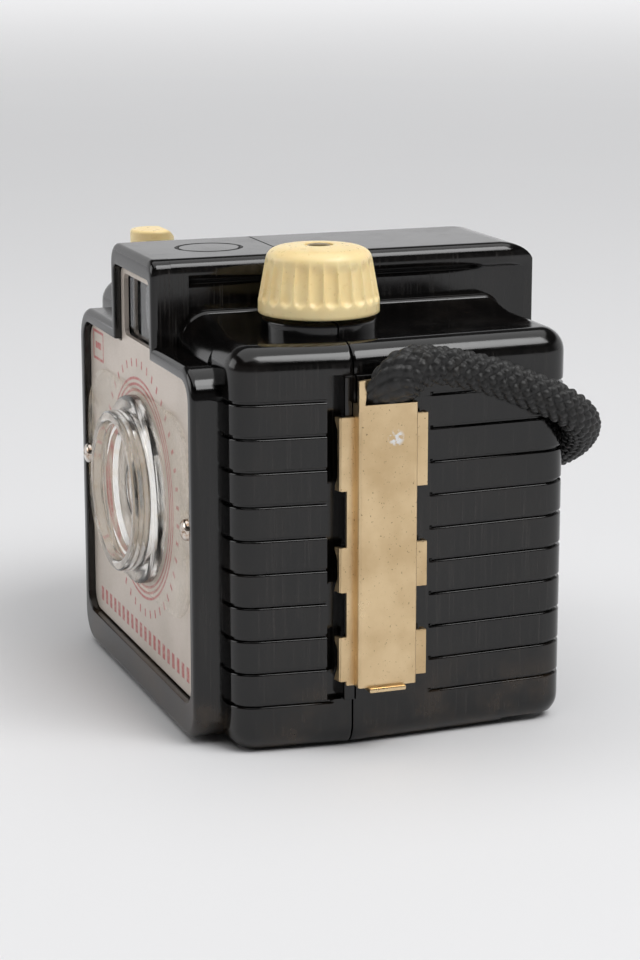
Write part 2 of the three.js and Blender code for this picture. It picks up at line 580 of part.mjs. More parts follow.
const ROLLER = { x: 34, y: 55, radius: 1.8 };
function filmRoller(side) {
  const low = CARRIER.low + 2;
  const high = CARRIER.high - 2;
  return turned([
    [0, low - 1.2], [0.7, low - 1.2], [0.7, low + GAP], [ROLLER.radius, low + GAP],
    [ROLLER.radius, high - GAP], [0.7, high - GAP], [0.7, high + 1.2], [0, high + 1.2],
  ], side * ROLLER.x, ROLLER.y, 16);
}

function takeupSpool() {
  const { low, high, flange, core } = SPOOL;
  return turned([
    [0, low], [flange, low], [flange, low + 0.8], [core, low + 0.8], [core, high - 0.8],
    [flange, high - 0.8], [flange, high], [0, high],
  ], KNOB.x, KNOB.y, 24)
    .subtract(post(KNOB.x, KNOB.y, low - 1, low + 3.5, 2.2, 16))
    .subtract(post(KNOB.x, KNOB.y, high - 3.5, high + 1, 2.4, 16))
    .subtract(box(KNOB.x - 0.6, KNOB.x + 0.6, 10, 40, low + 8, high - 8));
}

// short shouldered pin through a carrier plate; direction +1 points up into a spool
function spoolPin(side, plateFace, direction) {
  const z = (distance) => plateFace + direction * distance;
  const profile = [[0, z(-1.25)], [1.2, z(-1.25)], [1.2, z(GAP)], [1.7, z(GAP)], [1.7, z(3)], [0, z(3.4)]];
  return turned(direction > 0 ? profile : profile.reverse(), side * KNOB.x, KNOB.y, 16);
}

// bowed leaf that keeps the full spool from unwinding by itself
function supplySpring() {
  const strip = new THREE.Shape();
  strip.moveTo(-34.6, 14);
  strip.quadraticCurveTo(-36.8, 22, -34.6, 33);
  strip.lineTo(-34.1, 33);
  strip.quadraticCurveTo(-36.3, 22, -34.1, 14);
  return upright(strip, 24, 40, 10);
}

// ---------- winding ----------
function windingShaft() {
  const { x, y, low } = KNOB;
  return turned([
    [0, 58], [2, 58], [2, low - 0.3], [3.4, low - 0.3], [3.4, low + 0.2], [2, low + 0.2],
    [2, low + 6], [0, low + 6],
  ], x, y, 20).add(box(x - 1.9, x + 1.9, y - 0.5, y + 0.5, 54.6, 58.5));
}

// fluted, slightly tapered knob with a plain rim, a hole through it and a recess for the rivet head
function windingKnob() {
  const { x, y, low, high, radius } = KNOB;
  let knob = turned([
    [0, low], [radius, low], [radius, low + 2.1], [radius - 1.15, high - 2.4],
    [radius - 2.1, high - 0.9], [radius - 4, high - 0.25], [0, high],
  ], x, y, 48);
  const flutes = 24;
  for (let i = 0; i < flutes; i++) {
    const angle = (2 * Math.PI * i) / flutes;
    const flute = toSolid(new THREE.CylinderGeometry(0.75, 0.75, 12, 8).rotateX(Math.PI / 2)
      .rotateY(-0.13)
      .translate(radius + 0.05, 0, low + 8.6)
      .rotateZ(angle)
      .translate(x, y, 0));
    knob = knob.subtract(flute);
  }
  return knob
    .subtract(post(x, y, low - 1, low + 6.4, 2.3, 20))
    .subtract(post(x, y, low - 1, low + 0.5, 3.7, 20))
    .subtract(post(x, y, low + 5, high + 1, 1.3, 16))
    .subtract(post(x, y, high - 0.8, high + 1, 2.3, 20));
}

const knobRivet = () => turned([
  [0, KNOB.low + 6.6], [1, KNOB.low + 6.6], [1, KNOB.high - 0.5], [2, KNOB.high - 0.5],
  [1.9, KNOB.high - 0.1], [0, KNOB.high + 0.1],
], KNOB.x, KNOB.y, 20);

function ratchetWheel() {
  const teeth = 16;
  const outline = new THREE.Shape();
  for (let i = 0; i < teeth; i++) {
    const tip = (2 * Math.PI * i) / teeth;
    const root = tip + (2 * Math.PI * 0.85) / teeth;
    const move = i === 0 ? 'moveTo' : 'lineTo';
    outline[move](KNOB.x + 6 * Math.cos(tip), KNOB.y + 6 * Math.sin(tip));
    outline.lineTo(KNOB.x + 5 * Math.cos(root), KNOB.y + 5 * Math.sin(root));
  }
  return upright(outline, 59.2, 60).subtract(post(KNOB.x, KNOB.y, 58, 62, 2.3, 20));
}

function pawlSpring() {
  const blade = new THREE.Shape();
  blade.moveTo(KNOB.x - 9.4, 12.6);
  blade.lineTo(KNOB.x - 6.6, 12.6);
  blade.lineTo(KNOB.x - 6.5, KNOB.y);
  blade.lineTo(KNOB.x - 7, KNOB.y + 0.6);
  blade.lineTo(KNOB.x - 7.5, 14.6);
  blade.lineTo(KNOB.x - 9.4, 14.6);
  return upright(blade, 59.1, 60.1);
}

// ---------- back: red window and the side catches with the carrying cord ----------
const redWindow = () => barrel(0, LENS_Z, 61.3, 61.8, 6.9, 24);
const redWindowRing = () => turnedAlongY([
  [5.1, 62.1], [7, 62.1], [7, 62.7], [5.5, 62.7], [5.1, 62.4], [5.1, 62.1],
], 0, LENS_Z, 24);

// folded sheet-metal slide: a raised channel, three tabs on each edge and a thumb tongue at the foot
function sideCatch() {
  const { low, high, face, sheet, front, back } = CATCH;
  const base = RAIL.face + GAP;
  const lip = 42.3;
  const frontTab = 20;
  const rearTab = 35;
  let slide = box(base, face, front, back, low, high)
    .subtract(box(base - 1, face - sheet, front + sheet, back - sheet, low - 1, high + 1))
    .add(box(base, face, front, front + sheet, high - 1, CATCH_LUG))
    .add(box(base, base + sheet, front - 1.3, front + sheet / 2, low, CATCH_TABS[2][1]))
    .add(box(base, face + 1, front + 1.6, back - 2.2, low - 0.7, low + 0.1));
  for (const [tabLow, tabHigh] of CATCH_TABS) {
    slide = slide
      .add(box(base, base + sheet, frontTab, front + sheet, tabLow, tabHigh))
      .add(box(lip, base + sheet, frontTab, frontTab + sheet, tabLow, tabHigh))
      .add(box(base, base + sheet, back - sheet, rearTab, tabLow, tabHigh))
      .add(box(lip, base + sheet, rearTab - sheet, rearTab, tabLow, tabHigh));
  }
  const stop = CORD_END.low - GAP;
  return slide.add(box(base, face - sheet / 2, front + sheet / 2, back - sheet / 2, stop - sheet, stop));
}

// Half of the braided carrying cord: its end is pressed flat inside the catch, and the round part runs
// from the top of the catch to the middle behind the camera.
const CORD_ROUTE = [
  [46.2, 27.7, 58.9], [46.2, 28.5, 60.7], [46.3, 30.3, 62.3], [46.3, 33, 63.2], [46.3, 36.4, 63.1],
  [46.2, 40.2, 62.2], [46.1, 45, 60.8], [46, 49.7, 58.9], [45.8, 53.7, 57.2], [45.3, 57.3, 55.4],
  [44, 60.4, 53.5], [41.6, 62.9, 51.5], [38.3, 64.7, 49.5], [34.5, 65.8, 47.4], [30.2, 66.3, 45.2],
  [25, 66.4, 43], [19, 66.4, 41], [12, 66.4, 39.2], [5.6, 66.4, 38.5], [0.15, 66.4, 38.5],
];

function cordHalf() {
  const path = new THREE.CatmullRomCurve3(CORD_ROUTE.map((p) => new THREE.Vector3(...p)));
  const { inner, outer, front, back, low, high } = CORD_END;
  return tube(path, CORD_RADIUS, 26, 8).add(box(inner, outer, front, back, low, high));
}

// ---------- assembly ----------
const shell = completeShell();
add('front_shell', frontShell(shell), BAKELITE);
add('back_shell', backShell(shell), BAKELITE);
add('faceplate', faceplate(), PRINTED_METAL);
add('lens_cover', lensCover(), CLEAR);
add('lens_screw_right', screw(SCREW_X, LENS_Z, -2, -0.9, 3.1, 1.8, 1), STEEL);
add('lens_screw_left', screw(-SCREW_X, LENS_Z, -2, -0.9, 3.1, 1.8, 1), STEEL);
add('taking_lens', lensElement(), GLASS);
add('lens_retaining_ring', retainingRing(), STEEL);
add('aperture_plate', aperturePlate(), INNER_BLACK);
add('viewfinder_front_lens', viewfinderFrontLens(), GLASS);
add('viewfinder_rear_lens', viewfinderRearLens(), GLASS);
add('shutter_plate', shutterPlate(), STEEL);
PLATE_SCREWS.forEach(({ x, z }) => add(`shutter_plate_screw_${x > 0 ? 'right' : 'left'}`,
  screwFacingBack(x, z, 9, 8.2, 4.2, 2, 0.9), STEEL));
add('shutter_disc', shutterDisc(), INNER_BLACK);
add('shutter_pivot_pin', pivotPin(SHUTTER_PIVOT), BRASS);
add('release_lever', releaseLever(), STEEL);
add('lever_pivot_pin', pivotPin(LEVER_PIVOT), BRASS);
add('shutter_spring', shutterSpring(), STEEL);
add('shutter_button', shutterButton(), CREAM);
add('button_spring', buttonSpring(), STEEL);
add('film_carrier', filmCarrier(), INNER_BLACK);
add('carrier_screw_upper', screwFacingBack(0, CARRIER_SCREWS.upper, 14.4, 13.4, 7.4, 2, 0.9), STEEL);
add('carrier_screw_lower', screwFacingBack(0, CARRIER_SCREWS.lower, 14.4, 13.4, 7.4, 2, 0.9), STEEL);
add('film_roller_right', filmRoller(1), STEEL);
add('film_roller_left', filmRoller(-1), STEEL);
add('takeup_spool', takeupSpool(), INNER_BLACK);
add('takeup_lower_pin', spoolPin(1, CARRIER.low + 1, 1), STEEL);
add('supply_lower_pin', spoolPin(-1, CARRIER.low + 1, 1), STEEL);
add('supply_upper_pin', spoolPin(-1, CARRIER.high - 1, -1), STEEL);
add('supply_spring', supplySpring(), STEEL);
add('winding_shaft', windingShaft(), STEEL);
add('winding_knob', windingKnob(), CREAM);
add('knob_rivet', knobRivet(), BRASS);
add('ratchet_wheel', ratchetWheel(), BRASS);
add('pawl_spring', pawlSpring(), STEEL);
add('red_window', redWindow(), RED);
add('red_window_ring', redWindowRing(), INNER_BLACK);
add('catch_right', sideCatch(), BRASS);
add('catch_left', sideCatch().mirror([1, 0, 0]), BRASS);
add('strap_right', cordHalf(), CORD);
add('strap_left', cordHalf().mirror([1, 0, 0]), CORD);

export default parts;
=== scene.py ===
"""Blender scene of a moulded roll-film box camera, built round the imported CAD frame.

Shapes are modelled in millimetres on the camera's own axes: X points to the winding-knob side, the
lens looks along -Y, Y is 0 at the printed face of the faceplate and Z is 0 on the ground.
in_row_frame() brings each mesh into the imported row's frame, in metres.
"""
import json
import math

import bmesh
import bpy
from mathutils import Matrix, Vector


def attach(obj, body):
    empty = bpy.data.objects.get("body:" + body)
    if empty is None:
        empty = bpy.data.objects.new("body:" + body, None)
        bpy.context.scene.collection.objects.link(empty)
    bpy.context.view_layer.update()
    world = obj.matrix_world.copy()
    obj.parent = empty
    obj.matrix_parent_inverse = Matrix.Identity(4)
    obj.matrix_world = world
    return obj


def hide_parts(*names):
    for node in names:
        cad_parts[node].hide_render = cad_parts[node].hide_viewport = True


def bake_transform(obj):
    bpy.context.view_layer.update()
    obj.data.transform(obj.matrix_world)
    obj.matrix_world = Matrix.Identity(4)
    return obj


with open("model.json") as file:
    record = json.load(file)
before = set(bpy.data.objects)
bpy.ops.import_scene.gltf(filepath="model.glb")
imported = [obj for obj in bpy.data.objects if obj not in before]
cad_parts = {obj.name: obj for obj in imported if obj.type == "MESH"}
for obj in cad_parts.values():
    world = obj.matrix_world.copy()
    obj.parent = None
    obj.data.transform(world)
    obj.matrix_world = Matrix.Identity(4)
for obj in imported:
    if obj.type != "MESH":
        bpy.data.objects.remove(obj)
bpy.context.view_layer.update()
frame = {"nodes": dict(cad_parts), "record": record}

# ---------- camera ----------
CAMERA_PLACE = Vector((0.41785, -0.15004, 0.13934))
CAMERA_AZIMUTH = math.radians(70.08)
CAMERA_ELEVATION = math.radians(13.25)
FOCAL_LENGTH = 97.5                 # millimetres, on a sensor 36 wide
SENSOR_WIDTH = 36

# ---------- dimensions in millimetres ----------
MIDDLE_Y = 31.25                    # where the row frame's Y is 0
PARTING = 23.1
SEAM = 0.3                          # gap between the two half shells
BODY_HEIGHT = 66.5
BODY_FRONT, BODY_BACK = 3.6, 62.0
FRONT_HALF_WIDTH, BODY_HALF_WIDTH, BACK_HALF_WIDTH = 39.8, 42.0, 40.1
EDGE_RADIUS = 4.0
WALL = 3.0
RIB_COUNT, RIB_PITCH, RIB_LOWEST = 10, 5.5, 8.2
RIM_FRONT, RIM_WIDTH, POCKET_FLOOR = -1.3, 2.4, 1.1
BEZEL_HALF_WIDTH, BEZEL_BOTTOM, SHOULDER = 34.3, 0.6, 62.5
HOUSING_HALF_WIDTH, HOUSING_TOP, HOUSING_BACK = 12.6, 76.8, 67.7
LENS_Z = 35.8
SCREW_X = 30.0
COLLAR_RADIUS = 9.6                 # raised ring of the deck under the knob
PLATE_WINDOW = (-8.6, 8.6, 61.2, 71.9)
CATCH_FACE, CATCH_LOW, CATCH_HIGH = 46.0, 11.3, 57.5
WIDE, DEEP, HIGH = (-60, 60), (-20, 90), (-5, 90)   # limits past the whole camera, for cutters
FILM_ROOM_DEPTH, FLOOR_UP = (8, 59.2), (0, 70)
CREASE = 32.0                       # degrees between faces above which an edge stays sharp
KNOB_X, KNOB_Y, KNOB_LOW, KNOB_HIGH, KNOB_RADIUS = 25.2, 23.3, 69.2, 80.2, 9.9
BUTTON_X, BUTTON_Y, BUTTON_LOW, BUTTON_HIGH, BUTTON_RADIUS = -25.2, 10.0, 68.3, 76.9, 3.9
CORD_RADIUS = 2.9
CORD_ROUTE = [
    (44.3, 28, 50.2), (44.3, 28, 53), (44.3, 28, 55.8), (44.9, 28, 57.8), (45.9, 28.2, 59.6),
    (46.25, 29, 61.2), (46.3, 30.6, 62.5), (46.3, 33, 63.2), (46.3, 36.4, 63.1), (46.2, 40.2, 62.2),
    (46.1, 45, 60.8), (46, 49.7, 58.9), (45.8, 53.7, 57.2), (45.3, 57.3, 55.4), (44, 60.4, 53.5),
    (41.6, 62.9, 51.5), (38.3, 64.7, 49.5), (34.5, 65.8, 47.4), (30.2, 66.3, 45.2), (25, 66.4, 43),
    (19, 66.4, 41), (12, 66.4, 39.2), (5.6, 66.4, 38.5), (0.03, 66.4, 38.5),
]


def mesh_object(name, vertices, faces):
    mesh = bpy.data.meshes.new(name)
    mesh.from_pydata([tuple(v) for v in vertices], [], faces)
    shape = bmesh.new()
    shape.from_mesh(mesh)
    bmesh.ops.remove_doubles(shape, verts=shape.verts, dist=1e-5)
    bmesh.ops.recalc_face_normals(shape, faces=shape.faces)
    shape.to_mesh(mesh)
    shape.free()
    obj = bpy.data.objects.new(name, mesh)
    bpy.context.collection.objects.link(obj)
    return obj


def loft(name, rings, closed=False):
    """Quads between rings of equal length. The ends are capped, or joined to each other if closed."""
    count = len(rings[0])
    faces = []
    for r in range(len(rings) if closed else len(rings) - 1):
        low, high = r * count, (r + 1) % len(rings) * count
        for i in range(count):
            j = (i + 1) % count
            faces.append((low + i, low + j, high + j, high + i))
    if not closed:
        faces.append(tuple(range(count)))
        faces.append(tuple(range((len(rings) - 1) * count, len(rings) * count)))
    return mesh_object(name, [p for ring in rings for p in ring], faces)


def turned(name, profile, x, y, sides=64, along_y=False):
    """A round part from [radius, height] points about a vertical axis, or about one along Y."""
    rings = []
    for radius, height in profile:
        angles = [2 * math.pi * i / sides for i in range(sides)]
        flat = [(max(radius, 1e-3) * math.cos(a), max(radius, 1e-3) * math.sin(a)) for a in angles]
        if along_y:
            rings.append([(x + u, height, y + v) for u, v in flat])
        else:
            rings.append([(x + u, y + v, height) for u, v in flat])
    return loft(name, rings)


def block(name, x, y, z, radius=0.0):
    """A box between pairs of limits, with rounded edges."""
    shape = bmesh.new()
    bmesh.ops.create_cube(shape, size=1)
    for v in shape.verts:
        v.co = Vector((x[v.co.x > 0], y[v.co.y > 0], z[v.co.z > 0]))
    if radius:
        bmesh.ops.bevel(shape, geom=list(shape.edges), offset=radius, segments=2,
                        profile=0.5, affect="EDGES")
    mesh = bpy.data.meshes.new(name)
    shape.to_mesh(mesh)
    shape.free()
    obj = bpy.data.objects.new(name, mesh)
    bpy.context.collection.objects.link(obj)
    return obj


def combine(base, operation, others):
    """base joined with or cut by the others, which are used up."""
    for other in others:
        modifier = base.modifiers.new(operation, "BOOLEAN")
        modifier.operation = operation
        modifier.solver = "MANIFOLD"
        modifier.object = other
    bpy.context.view_layer.update()
    mesh = bpy.data.meshes.new_from_object(base.evaluated_get(bpy.context.evaluated_depsgraph_get()))
    base.modifiers.clear()
    base.data = mesh
    for other in others:
        bpy.data.objects.remove(other)
    return base


def join(base, *others):
    return combine(base, "UNION", others)


def cut(base, *others):
    return combine(base, "DIFFERENCE", others)


def keep_inside(base, other):
    return combine(base, "INTERSECT", [other])


def copy_of(obj, name, mirrored=False):
    twin = bpy.data.objects.new(name, obj.data.copy())
    bpy.context.collection.objects.link(twin)
    if mirrored:
        twin.data.transform(Matrix.Diagonal((-1, 1, 1, 1)))
        twin.data.flip_normals()
    return twin


def in_row_frame(obj, crease):
    """Millimetres to the row frame's metres, shaded smooth except where faces meet at more than crease."""
    obj.data.transform(Matrix.Scale(0.001, 4) @ Matrix.Translation((0, -MIDDLE_Y, 0)))
    shape = bmesh.new()
    shape.from_mesh(obj.data)
    limit = math.radians(crease)
    for face in shape.faces:
        face.smooth = True
    for edge in shape.edges:
        edge.smooth = len(edge.link_faces) == 2 and edge.calc_face_angle(0) < limit
    shape.to_mesh(obj.data)
    shape.free()


def finished(obj, body, slot, replaced, crease=CREASE, look=None):
    """Puts a modelled piece on its body in the row frame, with its slot's look or the one named."""
    in_row_frame(obj, crease)
    even = obj.modifiers.new("even_shading", "WEIGHTED_NORMAL")
    even.keep_sharp = True
    even.weight = 100
    obj.data.materials.clear()
    obj.data.materials.append(LOOKS[look or slot])
    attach(obj, body)
    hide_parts(replaced)


# ---------- outlines ----------
def smoothstep(low, high, value):
    t = min(1.0, max(0.0, (value - low) / (high - low)))
    return t * t * (3 - 2 * t)


def bezier(a, control, b, steps):
    """Points after a, up to b, on a quadratic curve."""
    points = []
    for i in range(1, steps + 1):
        t = i / steps
        points.append(tuple(
            (1 - t) ** 2 * p + 2 * t * (1 - t) * c + t * t * q for p, c, q in zip(a, control, b)))
    return points


def arc(x, z, radius, start, end, steps):
    """Points on an arc, angles in degrees."""
    points = []
    for i in range(steps + 1):
        angle = math.radians(start + (end - start) * i / steps)
        points.append((x + radius * math.cos(angle), z + radius * math.sin(angle)))
    return points


def shifted(points, inset):
    """A closed outline, counter-clockwise, with every point moved inwards."""
    count = len(points)
    moved = []
    for i in range(count):
        before, here, after = (Vector(points[(i + k) % count]) for k in (-1, 0, 1))
        a, b = (here - before).normalized(), (after - here).normalized()
        normal = Vector((-a.y - b.y, a.x + b.x)).normalized()
        amount = inset[i] if isinstance(inset, list) else inset
        moved.append(tuple(here + normal * amount / max(0.4, normal.dot(Vector((-a.y, a.x))))))
    return moved


def mirrored_outline(half):
    """A closed outline from its right half, listed from the front middle to the back middle."""
    return half + [(-x, y) for x, y in reversed(half)]


def rounded_rect(x0, x1, z0, z1, radius, steps=6):
    return (arc(x1 - radius, z0 + radius, radius, -90, 0, steps)
            + arc(x1 - radius, z1 - radius, radius, 0, 90, steps)
            + arc(x0 + radius, z1 - radius, radius, 90, 180, steps)
            + arc(x0 + radius, z0 + radius, radius, 180, 270, steps))


def frontal(name, outline, y0, y1):
    """A plate from an outline in X and Z."""
    return loft(name, [[(x, y, z) for x, z in outline] for y in (y0, y1)])


def upright(name, outline, z0, z1):
    return loft(name, [[(x, y, z) for x, y in outline] for z in (z0, z1)])


def body_outline(inset=0.0):
    """The body seen from above, drafted both ways from the parting line."""
    front, middle, back = (w - inset for w in (FRONT_HALF_WIDTH, BODY_HALF_WIDTH, BACK_HALF_WIDTH))
    y0, y1 = BODY_FRONT + inset, BODY_BACK - inset
    near, far = 4.5 - inset / 2, 5.5 - inset / 2
    half = [(20, y0), (30, y0), (31, y0), (front - near, y0)]
    half += bezier(half[-1], (front, y0), (front + 0.12 * near, y0 + near), 9)
    start = half[-1]
    for y in (12, 16, 19.4, 20, 22.4, 22.7, PARTING - SEAM / 2, PARTING + SEAM / 2, 23.5, 23.8):
        if y < PARTING:
            x = start[0] + (middle - start[0]) * (y - start[1]) / (PARTING - start[1])
        else:
            x = middle + (back - middle) * (y - PARTING) / (y1 - PARTING)
        half.append((x, y))
    end = (back + 0.05 * far, y1 - far)
    for y in (28, 33, 36.4, 37.2, 42, 48, 53):
        half.append((middle + (end[0] - middle) * (y - PARTING) / (end[1] - PARTING), y))
    half.append(end)
    half += bezier(end, (back, y1), (back - far, y1), 10)
    half += [(31.2, y1), (30.4, y1), (15, y1)]
    return mirrored_outline(half)


def front_outline(inset):
    """The stepped front: wide below the shoulders, narrow in front of the viewfinder."""
    wide = BEZEL_HALF_WIDTH - inset
    narrow = HOUSING_HALF_WIDTH - inset * 0.75
    low = BEZEL_BOTTOM + inset + 3.4 * smoothstep(1.1, 2.2, inset)
    shoulder = SHOULDER - inset
    top = HOUSING_TOP - inset * 1.5
    corner = 5.4 - inset * 0.8
    hood = corner / 2
    half = [(0, low)]
    half += arc(wide - corner, low + corner, corner, -90, 0, 8)
    half += arc(wide - corner, shoulder - corner, corner, 0, 90, 8)
    half += [(narrow, shoulder), (narrow, top - hood)]
    half += bezier(half[-1], (narrow, top), (narrow - hood, top), 6)
    return half + [(-x, z) for x, z in reversed(half[1:])]


# ---------- the two half shells ----------
GROOVE = [                          # half of a rib groove: distance from its middle, depth
    (0.52, 0.0), (0.38, 0.03), (0.29, 0.1), (0.23, 0.5), (0.15, 0.6),
]
EDGE_STEPS = 9                      # rounding of the body's upper and lower edges


def body_block():
    outline = body_outline()
    masks, seams = [], []
    for x, y in outline:
        if y < PARTING:
            masks.append(smoothstep(30, 31, abs(x)) * (1 - smoothstep(19.4, 20, y)))
        else:
            masks.append(smoothstep(30.4, 31.2, abs(x)) * smoothstep(36.4, 37.2, y))
        seams.append(0.22 * (1 - smoothstep(0.14, 0.75, abs(y - PARTING))))
    rows = []
    quarter = [math.radians(90 * i / EDGE_STEPS) for i in range(EDGE_STEPS + 1)]
    for angle in quarter:
        rows.append((EDGE_RADIUS * (1 - math.cos(angle)), EDGE_RADIUS * (1 - math.sin(angle)), 0.0))
    for rib in range(RIB_COUNT):
        middle = RIB_LOWEST + rib * RIB_PITCH
        rows += [(middle - offset, 0.0, depth) for offset, depth in GROOVE]
        rows += [(middle + offset, 0.0, depth) for offset, depth in reversed(GROOVE)]
    for angle in quarter:
        rows.append((BODY_HEIGHT - EDGE_RADIUS * (1 - math.sin(angle)),
                     EDGE_RADIUS * (1 - math.cos(angle)), 0.0))
    rings = []
    for z, inset, depth in rows:
        moves = [inset + depth * mask + seam * (inset < EDGE_RADIUS - 0.1)
                 for mask, seam in zip(masks, seams)]
        rings.append([(x, y, z) for x, y in shifted(outline, moves)])
    return loft("body_block", rings)


def deck_block():
    """The raised middle of the top: hollow sides under a rounded bead, rolled down at both ends."""
    reach, edge, top, foot, front, back = 28.5, 14.6, 68.6, 62.0, 3.1, 60.3
    rise = 1.45
    cove = [(reach, foot)]
    for i in range(17):
        t = i / 16
        cove.append((reach - (reach - edge) * t, BODY_HEIGHT + rise * t * t))
    side = cove + bezier(cove[-1], (edge - 0.45, top), (edge - 1.6, top), 7)
    section = side + [(-x, z) for x, z in reversed(side)]
    rings = []
    steps = 12
    for end, roll, way in ((front, 5.0, 1), (back, 3.0, -1)):
        part = []
        for i in range(steps + 1):
            angle = math.radians(90 * i / steps)
            drop = roll * (1 - math.sin(angle))
            y = end + way * roll * (1 - math.cos(angle))
            part.append([(x, y, max(foot, z - drop) if z > foot else z) for x, z in section])
        rings += part if way > 0 else list(reversed(part))
    return loft("deck_block", rings)


def housing_block():
    """Viewfinder housing: a rounded band along its top edge stands out over a recessed wall."""
    wide, recess, low = HOUSING_HALF_WIDTH, 1.4, SHOULDER - 3
    band = HOUSING_TOP - 4.1
    side = [(-recess, low), (-recess, band - 0.9)]
    side += bezier(side[-1], (-recess, band - 0.1), (-recess + 0.45, band + 0.15), 5)
    side += bezier(side[-1], (0, band + 0.5), (-0.02, band + 1.7), 7)
    side += bezier(side[-1], (-0.1, HOUSING_TOP - 0.1), (-2.3, HOUSING_TOP), 10)
    reach, fall, steps = 6.2, 4.2, 16
    stations = [(2.2, 0.0, 0.0), (HOUSING_BACK - 14, 0.0, 0.0)]
    for i in range(1, 4):
        stations.append((HOUSING_BACK - 14 + (14 - reach) * i / 4, 0.0, 0.0))
    for i in range(steps + 1):
        angle = math.radians(90 * i / steps)
        stations.append((HOUSING_BACK - reach * (1 - math.sin(angle)), fall * (1 - math.cos(angle)),
                         1.0 * smoothstep(0.8, 1.0, i / steps)))
    rings = []
    for y, drop, tuck in stations:
        flush = smoothstep(HOUSING_BACK - 5.5, HOUSING_BACK - 0.3, y)
        ring = []
        for offset, z in side:
            x = wide + offset * (1 - flush) - recess * 0.75 * flush - tuck
            share = max(0.0, (z - band + 0.9) / (HOUSING_TOP - band + 0.9))
            ring.append((x, y, z - drop * share))
        rings.append(ring + [(-x, y, z) for x, y, z in reversed(ring)])
    return loft("housing_block", rings)


def bezel_block():
    """The front rim with the faceplate's pocket in it, lofted from the body round to the pocket floor."""
    steps = [(BODY_FRONT + 1.5, 0.0), (RIM_FRONT + 1.1, 0.0)]
    for i in range(1, 7):
        angle = math.radians(90 * i / 6)
        steps.append((RIM_FRONT + 1.1 * (1 - math.sin(angle)), 1.1 * (1 - math.cos(angle))))
    steps += [(RIM_FRONT, RIM_WIDTH - 0.35), (RIM_FRONT + 0.08, RIM_WIDTH - 0.1),
              (RIM_FRONT + 0.35, RIM_WIDTH), (POCKET_FLOOR, RIM_WIDTH)]
    return loft("bezel_block", [[(x, y, z) for x, z in front_outline(inset)] for y, inset in steps])


def film_cavity():
    outline = body_outline(WALL)
    low = keep_inside(upright("cavity", outline, 3.5, 59.2),
                      block("limit", (-50, 50), FILM_ROOM_DEPTH, FLOOR_UP))
    high = keep_inside(upright("cavity_high", outline, 59, 63.6),
                       block("limit", (-50, 50), FILM_ROOM_DEPTH, FLOOR_UP))
    return join(low, cut(high, block("finder_floor", (-13.5, 13.5), (0, 70), FLOOR_UP)))


def ring_groove(steps=72, sides=8):
    """An oval loop, for the groove in the top of the housing near its front."""
    half_width, half_length, middle_y, groove_half_width, depth = 4.9, 5.5, 12.6, 0.4, 0.5
    rings = []
    for i in range(steps):
        angle = 2 * math.pi * i / steps
        middle = Vector((half_width * math.cos(angle), middle_y + half_length * math.sin(angle),
                         HOUSING_TOP))
        outward = Vector((math.cos(angle), math.sin(angle), 0))
        rings.append([tuple(middle + outward * (groove_half_width * math.cos(a))
                            + Vector((0, 0, depth * math.sin(a))))
                      for a in (2 * math.pi * k / sides for k in range(sides))])
    return loft("emblem_groove", rings, closed=True)


def complete_shell():
    shell = body_block()
    rails = [block("rail", (side * 38, side * 43)[::side], (21.2, 33.6), (8.5, 61.8), 0.35)
             for side in (1, -1)]
    join(shell, deck_block(), housing_block(), bezel_block(), *rails)
    post = turned("collar", [
        (0, 64), (COLLAR_RADIUS, 64), (COLLAR_RADIUS, 68.0), (COLLAR_RADIUS - 0.1, 68.3),
        (COLLAR_RADIUS - 0.4, 68.5), (COLLAR_RADIUS - 0.9, 68.6), (0, 68.6)], KNOB_X, KNOB_Y)
    well = turned("well", [(0, 64), (6, 64), (6, 69.2), (5.85, 69.5), (5.5, 69.6), (0, 69.6)],
                  BUTTON_X, BUTTON_Y, 48)
    join(shell, post, well)
    cut(shell,
        film_cavity(),
        block("shutter_room", (-29, 29), (3.6, 12.5), (9, 56)),
        block("tunnel", (-9.2, 9.2), (0, 62), (60.7, 74.4)),
        block("lens_seat", (-7.5, 7.5), (61.9, 65.2), (62.6, 73)),
        block("eyepiece", (-5.6, 5.6), (65, 70), (64.5, 71.6), 0.8),
        turned("button_well", [(0, 65), (5, 65), (5, 90), (0, 90)], BUTTON_X, BUTTON_Y, 48),
        turned("shaft_bore", [(0, 55), (2.6, 55), (2.6, 90), (0, 90)], KNOB_X, KNOB_Y, 32),
        turned("stem_bore", [(0, 55), (2, 55), (2, 90), (0, 90)], BUTTON_X, BUTTON_Y, 32),
        block("rear_step", (-50, 50), (50.5, 80), (-1, 1.3)),
        ring_groove())
    return shell


